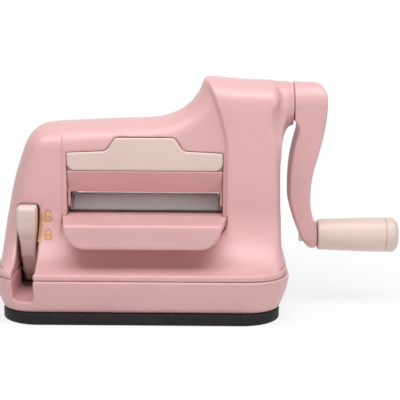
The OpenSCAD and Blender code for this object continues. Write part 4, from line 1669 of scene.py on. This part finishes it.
@dataclass
class CrankHandle(SubAssembly):
    """Swept crank arm with its end cap, and the turning grip."""

    arm_round: float = 1.8
    arm_l: float = 73.8
    foot_r: float = 8.2
    boss_r: float = 7.6
    shaft_r: float = 4.02
    screw_r: float = 3.2
    bolt_r: float = 2.55
    bolt_head_r: float = 4.4
    cap_seat_r: float = 6.2
    cap_t: float = 3.6
    cap_l: float = 7.0
    grip_r: float = 8.5
    grip_gap: float = 0.7
    cell: float = 0.6

    def outline(self) -> Table:
        """Front view of the arm: in past the body and out again to the grip.

        Returns:
            The distances to its outline.
        """
        d = self.d
        hub_l, r, scale = d.hub_end - d.hub_x, d.hub_r, (d.crank_z - d.grip_z) / self.arm_l
        inner = catmull_run([(0.4, -9), (2.6, -12.6), (0.8, -20.5), (-0.8, -28), (-1.7, -36),
                             (-2.0, -44), (-1.8, -52), (-0.6, -58), (1.2, -64), (3.4, -70),
                             (6.4, -76), (9.6, -80.4)], 6)
        outer = catmull_run([(13.2, -80.6), (13.4, -74), (12.6, -66), (10.9, -60), (10.0, -53.5),
                             (10.2, -45), (11.6, -36), (14.0, -27), (15.8, -19.5), (17.1, -12),
                             (hub_l, -4)], 6)
        line = np.vstack([inner * (1, scale), [(11.2, -81.3 * scale)], outer * (1, scale),
                          arc(0, 0, 1, 0, 90) * (7.5, 10) + (hub_l - 7.5, r - 10), [(0, r)]])
        return Outline(line + (d.hub_x, d.crank_z)).tabled(0.25, 8)

    def side_distance(self, y: Values, z: Values) -> Values:
        """Side view of the arm: a straight taper between two round ends.

        Args:
            y: Y of each point.
            z: Z of each point.

        Returns:
            The signed distance at each point.
        """
        h = self.d.crank_z - self.d.grip_z
        r1, r2 = self.d.hub_r, self.foot_r
        u, v = np.abs(y), self.d.crank_z - z
        b = (r1 - r2) / h
        a = math.sqrt(1 - b * b)
        k = -b * u + a * v
        below = np.where(k > a * h, np.hypot(u, v - h) - r2, a * u + b * v - r1)
        return np.where(k < 0, np.hypot(u, v) - r1, below)

    def arm_shape(self) -> Shape:
        """Signed distance of the arm.

        Returns:
            The shape.
        """
        d, front = self.d, self.outline()
        arm_end = node_box("grip")[0][0] - self.grip_gap

        def solid(p: Points) -> Values:
            """Signed distance at each point.

            Args:
                p: Where to look.

            Returns:
                The distances, negative inside.
            """
            x, y, z = p.T
            r_hub = np.hypot(y, z - d.crank_z)
            r_grip = np.hypot(y, z - d.grip_z)
            crisp = ease((z - d.crank_z + 15) / 4) * ease((d.hub_x + 5 - x) / 3)
            body = smooth_max(front(x, z), self.side_distance(y, z),
                              self.arm_round * (1 - 0.75 * crisp))
            boss = smooth_max(r_grip - self.boss_r, between(x, d.hub_x + 11, arm_end), 0.8)
            body = smooth_min(body, boss, 0.8)
            for r, x0, x1 in (
                    (r_hub - self.shaft_r, d.hub_x - 1, d.hub_end - 5.5),
                    (r_hub - self.screw_r, d.hub_end - 6, d.hub_end - self.cap_t),
                    (r_hub - self.cap_seat_r, d.hub_end - 3.7, d.hub_end + 1),
                    (r_grip - self.bolt_r, d.hub_x - 5, arm_end + 1),
                    (r_grip - self.bolt_head_r, d.hub_x - 5, d.hub_x + 8.6)):
                body = cut(body, np.maximum(r, between(x, x0, x1)), 0.3)
            return body

        return solid

    def build(self) -> None:
        """Makes the arm, its cap, the grip and the grip's end cap."""
        self.carve("crank_handle_arm", self.arm_shape(), "crank_arm", "crank", Look.PINK,
                   self.cell)
        end, r, back = self.d.hub_end, self.cap_seat_r - 0.05, self.d.hub_end - self.cap_t
        rim = filleted([(back, 5.2, 0.1), (back, r, 0.2), (end, r, 0.9), (end, 2.2, 0.0)])
        line = np.vstack([rim, [(end - 0.35, 1.4), (end - 0.35, 0), (end - 1.2, 0),
                                (end - 1.2, 5.2)]])
        cap = turned("crank_hub_cap", line[::-1], (0.0, self.d.crank_z), 72, closed=False)
        self.finishes.seat(cap, "crank", Look.PINK, "crank_cap")
        self._build_grip()

    def _build_grip(self) -> None:
        """Makes the barrel of the grip and its domed end."""
        low, high = node_box("grip")
        x0, x2, r2 = low[0], node_box("grip_cap")[1][0], (high[2] - low[2]) / 2
        r0, x1, bore, neck = self.grip_r, x2 - self.cap_l, self.bolt_r, x2 - 12
        barrel = catmull_run([(x0 + 1.2, r0), (x0 + 14, r0 + 0.5), (x0 + 27, r2 - 0.12),
                              (x1 - 0.4, r2)], 6)
        line = np.vstack([[(neck, bore), (x0 + 0.3, bore), (x0, bore + 0.3), (x0, r0 - 1.2)],
                          arc(x0 + 1.2, r0 - 1.2, 1.2, 180, 90, 6)[1:-1], barrel,
                          [(x1 - 0.1, r2 - 0.25), (x1, r2 - 0.4), (x1, 5.25), (neck, 5.25)]])
        obj = turned("hand_grip_barrel", line[::-1], (0.0, self.d.grip_z))
        self.finishes.seat(obj, "hand_grip", Look.CREAM, "grip")

        dome = [(x2 - 3.6 + 3.6 * math.sin(a), r2 - 3.9 + 3.9 * math.cos(a))
                for a in np.radians(np.linspace(0, 78, 12))]
        line = np.vstack([[(x1 + 2, 0), (x1 + 2, 4.2), (x1 - 2.2, 4.2), (x1 - 2.2, 5.15),
                           (x1 + 0.05, 5.15), (x1 + 0.05, r2 - 0.35), (x1 + 0.3, r2)], dome,
                          [(x2 - 0.03, (r2 - 3.9) * 0.6), (x2, 0)]])
        obj = turned("hand_grip_end", line[::-1], (0.0, self.d.grip_z), closed=False)
        self.finishes.seat(obj, "hand_grip", Look.CREAM, "grip_cap")


@dataclass
class LockLever(SubAssembly):
    """Cream lever with a broad head on a slimmer stem.

    The narrowing gives depths under the top, deepest first, and what the half width loses.
    """

    front: float = -36.0
    head_h: float = 16.0
    hub_r: float = 6.4
    bore: float = 3.02
    narrowing: tuple[tuple[float, float], ...] = (
        (50, 0.5), (44, 0.6), (38, 0.9), (30, 1.1), (24, 1.05), (20, 0.9), (16, 0.6),
        (12, 0.25), (8, 0.05), (4, 0.05), (0, 0.15))
    cell: float = 0.45

    @staticmethod
    def limb(y: Values, z: Values, a: Place, b: Place) -> Values:
        """Distance to a tapered bar between two knots.

        Args:
            y: Y of each point.
            z: Z of each point.
            a: First knot as (y, z, radius).
            b: Second knot, likewise.

        Returns:
            The distance at each point.
        """
        way = np.array([b[0] - a[0], b[1] - a[1]])
        length = float(np.hypot(*way))
        way /= length
        u = (y - a[0]) * way[0] + (z - a[1]) * way[1]
        v = np.abs(-(y - a[0]) * way[1] + (z - a[1]) * way[0])
        share = np.clip(u / length, 0, 1)
        return np.hypot(v, u - share * length) - (a[2] + (b[2] - a[2]) * share)

    def shape(self) -> Shape:
        """Signed distance of the lever.

        Returns:
            The shape.
        """
        d, top, f = self.d, self.d.lever_top, self.front
        low, high = node_box("lock_lever")
        head_w = high[0] - low[0]
        head = Outline(np.vstack([
            arc(f + 3, top - 3, 3, 90, 180, 8),
            catmull_run([(f, top - 6), (f + 0.5, top - 10), (f + 1.6, top - 14),
                         (f + 3, top - self.head_h)], 6),
            [(f + 9, top - self.head_h + 2)], arc(f + 7.2, top - 2, 2, 0, 90, 6)]))
        knots = ((d.pivot_y, d.pivot_z, self.hub_r), (f + 17.5, d.pivot_z + 6.5, 5.3),
                 (f + 11, d.pivot_z + 14, 5.1), (f + 7.4, d.pivot_z + 23, 4.5),
                 (f + 5.6, top - self.head_h + 4, 4.0))
        depths, losses = catmull_run(self.narrowing, 6).T

        def solid(p: Points) -> Values:
            """Signed distance at each point.

            Args:
                p: Where to look.

            Returns:
                The distances, negative inside.
            """
            x, y, z = p[:, 0] - d.lever_x, p[:, 1], p[:, 2]
            stem = np.minimum.reduce([self.limb(y, z, a, b) for a, b in zip(knots, knots[1:])])
            side = smooth_min(head.exact(y, z), stem, 3.0)
            half = np.interp(z, top - depths, head_w / 2 - losses)
            body = smooth_max(side, (np.abs(x) - half) * 0.97, 1.7)
            return cut(body, np.hypot(y - d.pivot_y, z - d.pivot_z) - self.bore)

        return solid

    def build(self) -> None:
        """Makes the lever."""
        self.carve("lock_lever_arm", self.shape(), "lock_lever", "lever", Look.CREAM, self.cell)


@dataclass
class Foot(SubAssembly):
    """Rubber pad with rolled edges and a recess for the suction disc."""

    corner: float = 21.0
    roll: float = 1.1
    recess_r: float = 39.0
    web: float = 1.2
    stud_r: float = 5.5
    segments: int = 144

    def ring(self, hx: float, hy: float, r: float, z: float) -> np.ndarray:
        """Points of a rounded rectangle, evenly spread by angle.

        Args:
            hx: Half its width.
            hy: Half its depth.
            r: Radius of its corners.
            z: Its height.

        Returns:
            The points.
        """
        quarter, out = self.segments // 4, []
        for q, (sx, sy) in enumerate(((1, 1), (-1, 1), (-1, -1), (1, -1))):
            a = np.radians(90 * q + 90 * np.arange(quarter) / (quarter - 1))
            out.append(np.column_stack([sx * (hx - r) + r * np.cos(a),
                                        sy * (hy - r) + r * np.sin(a), np.full(quarter, z)]))
        return np.vstack(out)

    def build(self) -> None:
        """Makes the pad."""
        _, (hx, hy, top) = node_box("base_pad")
        rings = [self.ring(r, r, r, z) for r, z in (
            (self.stud_r, top - self.web), (self.recess_r, top - self.web), (self.recess_r, 0.0))]
        edge = [(self.roll * (1 - math.sin(a)), self.roll * (1 - math.cos(a)))
                for a in np.radians(np.linspace(0, 90, 6))]
        for inset, z in edge + [(i, top - z) for i, z in reversed(edge)]:
            rings.append(self.ring(hx - inset, hy - inset, self.corner - inset, z))
        rings.append(self.ring(self.stud_r, self.stud_r, self.stud_r, top))
        obj = ring_stack("foot_pad", rings, closed=True)
        self.finishes.seat(obj, "base", Look.RUBBER, "base_pad")


@dataclass
class LockSigns:
    """Gold foil beside the lever: a guide strip, an open padlock and a shut padlock."""

    skin: BodySkin
    finishes: FinishShelf
    film: float = 0.07
    bite: float = 0.5
    cell: float = 0.2

    def laid(self, name: str, plane: Figure, low: Place, high: Place) -> None:
        """Lays a flat figure on the body's skin as a thin film.

        Args:
            name: Name of the piece.
            plane: Signed distance of the figure in X and Z.
            low: Lowest X and Z.
            high: Highest X and Z.
        """
        def solid(p: Points) -> Values:
            """Signed distance at each point.

            Args:
                p: Where to look.

            Returns:
                The distances, negative inside.
            """
            layer = between(self.skin.outer(p), -self.bite, self.film)
            return smooth_max(plane(p[:, 0], p[:, 2]), layer, 0.1)

        x, z = np.meshgrid(np.linspace(low[0], high[0], 7), np.linspace(low[1], high[1], 7))
        deep = self.skin.depth(x.ravel(), z.ravel())
        obj = Mesher(self.cell, settle=2).build(
            name, solid, (low[0], -deep.max() - 0.4, low[1]),
            (high[0], -deep.min() + 0.9, high[1]))
        self.finishes.seat(obj, "base", Look.BRONZE, look=Look.FOIL)

    @staticmethod
    def padlock(cx: float, z0: float, lift: float = 0.0) -> Figure:
        """A plain padlock sign with its body's lower edge at z0.

        Args:
            cx: X of its middle.
            z0: Z of its lower edge.
            lift: How far the shackle is pulled out; 0 is shut.

        Returns:
            Signed distance in X and Z.
        """
        half, tall, line, bend, rise = 2.3, 3.3, 0.42, 1.35, 0.7

        def plane(x: Values, z: Values) -> Values:
            """Signed distance at each place.

            Args:
                x: X of each place.
                z: Z of each place.

            Returns:
                The distances, negative inside.
            """
            u, v = x - cx, z - z0
            case = plate_distance(u, v - tall / 2, half, tall / 2, 0.8)
            hole = plate_distance(u, v - tall / 2, 0.35, 0.7, 0.3)
            ring = np.abs(np.hypot(u, v - tall - rise - lift) - bend) - line
            ring = np.maximum(ring, tall + rise + lift - v)
            legs = np.abs(np.abs(u) - bend) - line
            legs = np.maximum(legs, between(v, tall - 0.3, tall + rise + lift))
            if lift:
                legs = np.maximum(legs, np.where(u > 0, tall + lift - v, -9.0))
            return np.minimum.reduce([cut(case, hole), ring, legs])

        return plane

    def build(self) -> None:
        """Makes the three signs."""
        def strip(x: Values, z: Values) -> Values:
            """Distance to the leaning guide strip."""
            slant = x + 54.35 - (z - 47.5) * 0.06
            return plate_distance(slant, z - 47.4, 0.85, 7.4, 0.3)

        for name, plane, low, high in (
                ("guide_strip", strip, (-56.3, 39.5), (-52.3, 55.5)),
                ("padlock_open", self.padlock(-50.4, 50.3, 0.9), (-53.3, 49.5), (-47.5, 57.9)),
                ("padlock_shut", self.padlock(-50.1, 41.0), (-53.0, 40.2), (-47.2, 47.6))):
            self.laid(f"sign_{name}", plane, low, high)


@dataclass
class Works:
    """Finishes of the pieces that stay as the frame holds them."""

    finishes: FinishShelf
    usual: Look = Look.STEEL

    def build(self) -> None:
        """Dresses each node that nothing replaces."""
        known = {look.value: look for look in Look}
        for name, obj in sorted(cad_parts.items()):
            if obj.hide_render:
                continue
            slots = obj.data.materials
            look = known.get(slots[0].name.split(".")[0] if slots else "", self.usual)
            self.finishes.dress(obj, look)
            LOG.info("%s keeps its mesh, finish %s", name, look.value)


# ---- studio --------------------------------------------------------------------------------


@dataclass
class Studio:
    """White sweep, soft lamps and the camera.

    Each lamp has a name, its place, its width and height in millimetres, and watts.
    """

    target: tuple[float, float, float] = (31.0, 0.0, 57.6)
    aim: tuple[float, float, float] = (20.0, 0.0, 60.0)
    distance: float = 620.0
    pitch: float = 10.2
    roll: float = 0.4
    focal_px: float = 1107.0
    frame_px: float = 400.0
    ambient: float = 0.24
    floor_half: float = 3000.0
    floor_grey: float = 0.9
    glow_near: float = 0.82
    glow_far: float = 1.0
    glow_from: float = 0.11
    glow_to: float = 0.24

    LAMPS = (
        ("softbox_top", (40, -180, 560), (760, 320), 3.3),
        ("softbox_front", (110, -760, 70), (860, 220), 0.75),
        ("softbox_right", (520, -480, 200), (400, 500), 0.35),
        ("softbox_left", (-480, -480, 200), (400, 500), 0.15),
    )
    WHITE = (1, 1, 1, 1)

    @staticmethod
    def _nodes(tree: bpy.types.NodeTree, *kinds: str) -> list[bpy.types.Node]:
        """Adds nodes of the given Blender types."""
        return [tree.nodes.new(f"ShaderNode{kind}") for kind in kinds]

    def _mixed(self, tree: bpy.types.NodeTree, share: Socket, a: Socket, b: Socket,
               out: bpy.types.Node) -> None:
        """Mixes two shaders into the tree's output.

        Args:
            tree: The node tree.
            share: Share of the second shader.
            a: First shader.
            b: Second shader.
            out: Output node of the tree.
        """
        mix, = self._nodes(tree, "MixShader")
        for source, into in ((share, mix.inputs["Fac"]), (a, mix.inputs[1]),
                             (b, mix.inputs[2]), (mix.outputs[0], out.inputs["Surface"])):
            tree.links.new(source, into)

    def _seen(self, tree: bpy.types.NodeTree) -> Socket:
        """1 where a camera, mirror or glass ray looks, else 0.

        Args:
            tree: The node tree.

        Returns:
            The value's socket.
        """
        path, = self._nodes(tree, "LightPath")
        total = path.outputs["Is Camera Ray"]
        for name in ("Is Glossy Ray", "Is Transmission Ray"):
            node, = self._nodes(tree, "Math")
            node.operation = "MAXIMUM"
            tree.links.new(total, node.inputs[0])
            tree.links.new(path.outputs[name], node.inputs[1])
            total = node.outputs[0]
        return total

    def _world(self) -> None:
        """Soft white surroundings, pure white where they are seen."""
        world = bpy.data.worlds.new("studio")
        bpy.context.scene.world = world
        world.use_nodes = True
        tree = world.node_tree
        tree.nodes.clear()
        lit, shown, out = self._nodes(tree, "Background", "Background", "OutputWorld")
        fill_in(lit, {"Strength": self.ambient, "Color": self.WHITE})
        fill_in(shown, {"Strength": 1.0, "Color": self.WHITE})
        self._mixed(tree, self._seen(tree), lit.outputs[0], shown.outputs[0], out)

    def _floor(self) -> None:
        """Pale floor that keeps the machine's shadow."""
        size = self.floor_half
        verts = np.array([(-size, -size, 0), (size, -size, 0), (size, size, 0), (-size, size, 0)])
        floor = add_object("floor", verts, [[0, 1, 2, 3]])
        material = bpy.data.materials.new("floor")
        material.use_nodes = True
        tree = material.node_tree
        tree.nodes.clear()
        paint, glow, out, share, coords, reach, fade = self._nodes(
            tree, "BsdfDiffuse", "Emission", "OutputMaterial", "Math", "TexCoord", "VectorMath",
            "MapRange")
        fill_in(paint, {"Color": (self.floor_grey,) * 3 + (1,)})
        fill_in(glow, {"Strength": 1.0})
        fill_in(fade, {"From Min": self.glow_from, "From Max": self.glow_to,
                       "To Min": self.glow_near, "To Max": self.glow_far})
        reach.operation, share.operation = "LENGTH", "MULTIPLY"
        for source, into in ((coords.outputs["Object"], reach.inputs[0]),
                             (reach.outputs["Value"], fade.inputs["Value"]),
                             (self._seen(tree), share.inputs[0]),
                             (fade.outputs["Result"], share.inputs[1])):
            tree.links.new(source, into)
        self._mixed(tree, share.outputs[0], paint.outputs[0], glow.outputs[0], out)
        floor.data.materials.append(material)

    def _lamp(self, name: str, place: Place, size: Place, power: float) -> None:
        """Adds a softbox aimed at the machine.

        Args:
            name: Name of the lamp.
            place: Where it stands, in millimetres.
            size: Width and height in millimetres.
            power: Power in watts.
        """
        data = bpy.data.lights.new(name, "AREA")
        data.shape = "RECTANGLE"
        data.size, data.size_y = size[0] * MM, size[1] * MM
        data.energy = power
        lamp = bpy.data.objects.new(name, data)
        lamp.location = Vector(place) * MM
        aim = Vector(self.aim) * MM - lamp.location
        lamp.rotation_euler = aim.to_track_quat("-Z", "Y").to_euler()
        bpy.context.scene.collection.objects.link(lamp)

    def _camera(self) -> None:
        """Camera a little above the machine, square to its front."""
        p, r = math.radians(self.pitch), math.radians(self.roll)
        ahead = Vector((0, math.cos(p), -math.sin(p)))
        right = Vector((1, 0, 0))
        up = right.cross(ahead)
        side = right * math.cos(r) + up * math.sin(r)
        above = -right * math.sin(r) + up * math.cos(r)
        data = bpy.data.cameras.new("camera")
        data.sensor_width = 36.0
        data.lens = self.focal_px / self.frame_px * data.sensor_width
        data.clip_start, data.clip_end = 0.05, 20.0
        camera = bpy.data.objects.new("camera", data)
        place = (Vector(self.target) - ahead * self.distance) * MM
        turn = Matrix((side, above, -ahead)).transposed()
        camera.matrix_world = Matrix.Translation(place) @ turn.to_4x4()
        bpy.context.scene.collection.objects.link(camera)
        bpy.context.scene.camera = camera

    def build(self) -> None:
        """Sets up the whole studio."""
        bpy.context.scene.view_settings.view_transform = "Standard"
        self._world()
        self._floor()
        for lamp in self.LAMPS:
            self._lamp(*lamp)
        self._camera()


def main() -> None:
    """Builds every sub-assembly in order."""
    logging.basicConfig(level=logging.INFO, format="%(name)s: %(message)s")
    datum = Datum.read()
    finishes = FinishShelf()
    Studio().build()
    skin = BodySkin(datum)
    UpperHousing(datum, finishes, skin).build()
    for kind in (LowerHousing, Shelf, FeedTray, Rollers, CrankHandle, LockLever, Foot):
        kind(datum, finishes).build()
    LockSigns(skin, finishes).build()
    Works(finishes).build()


if __name__ == "__main__":
    main()
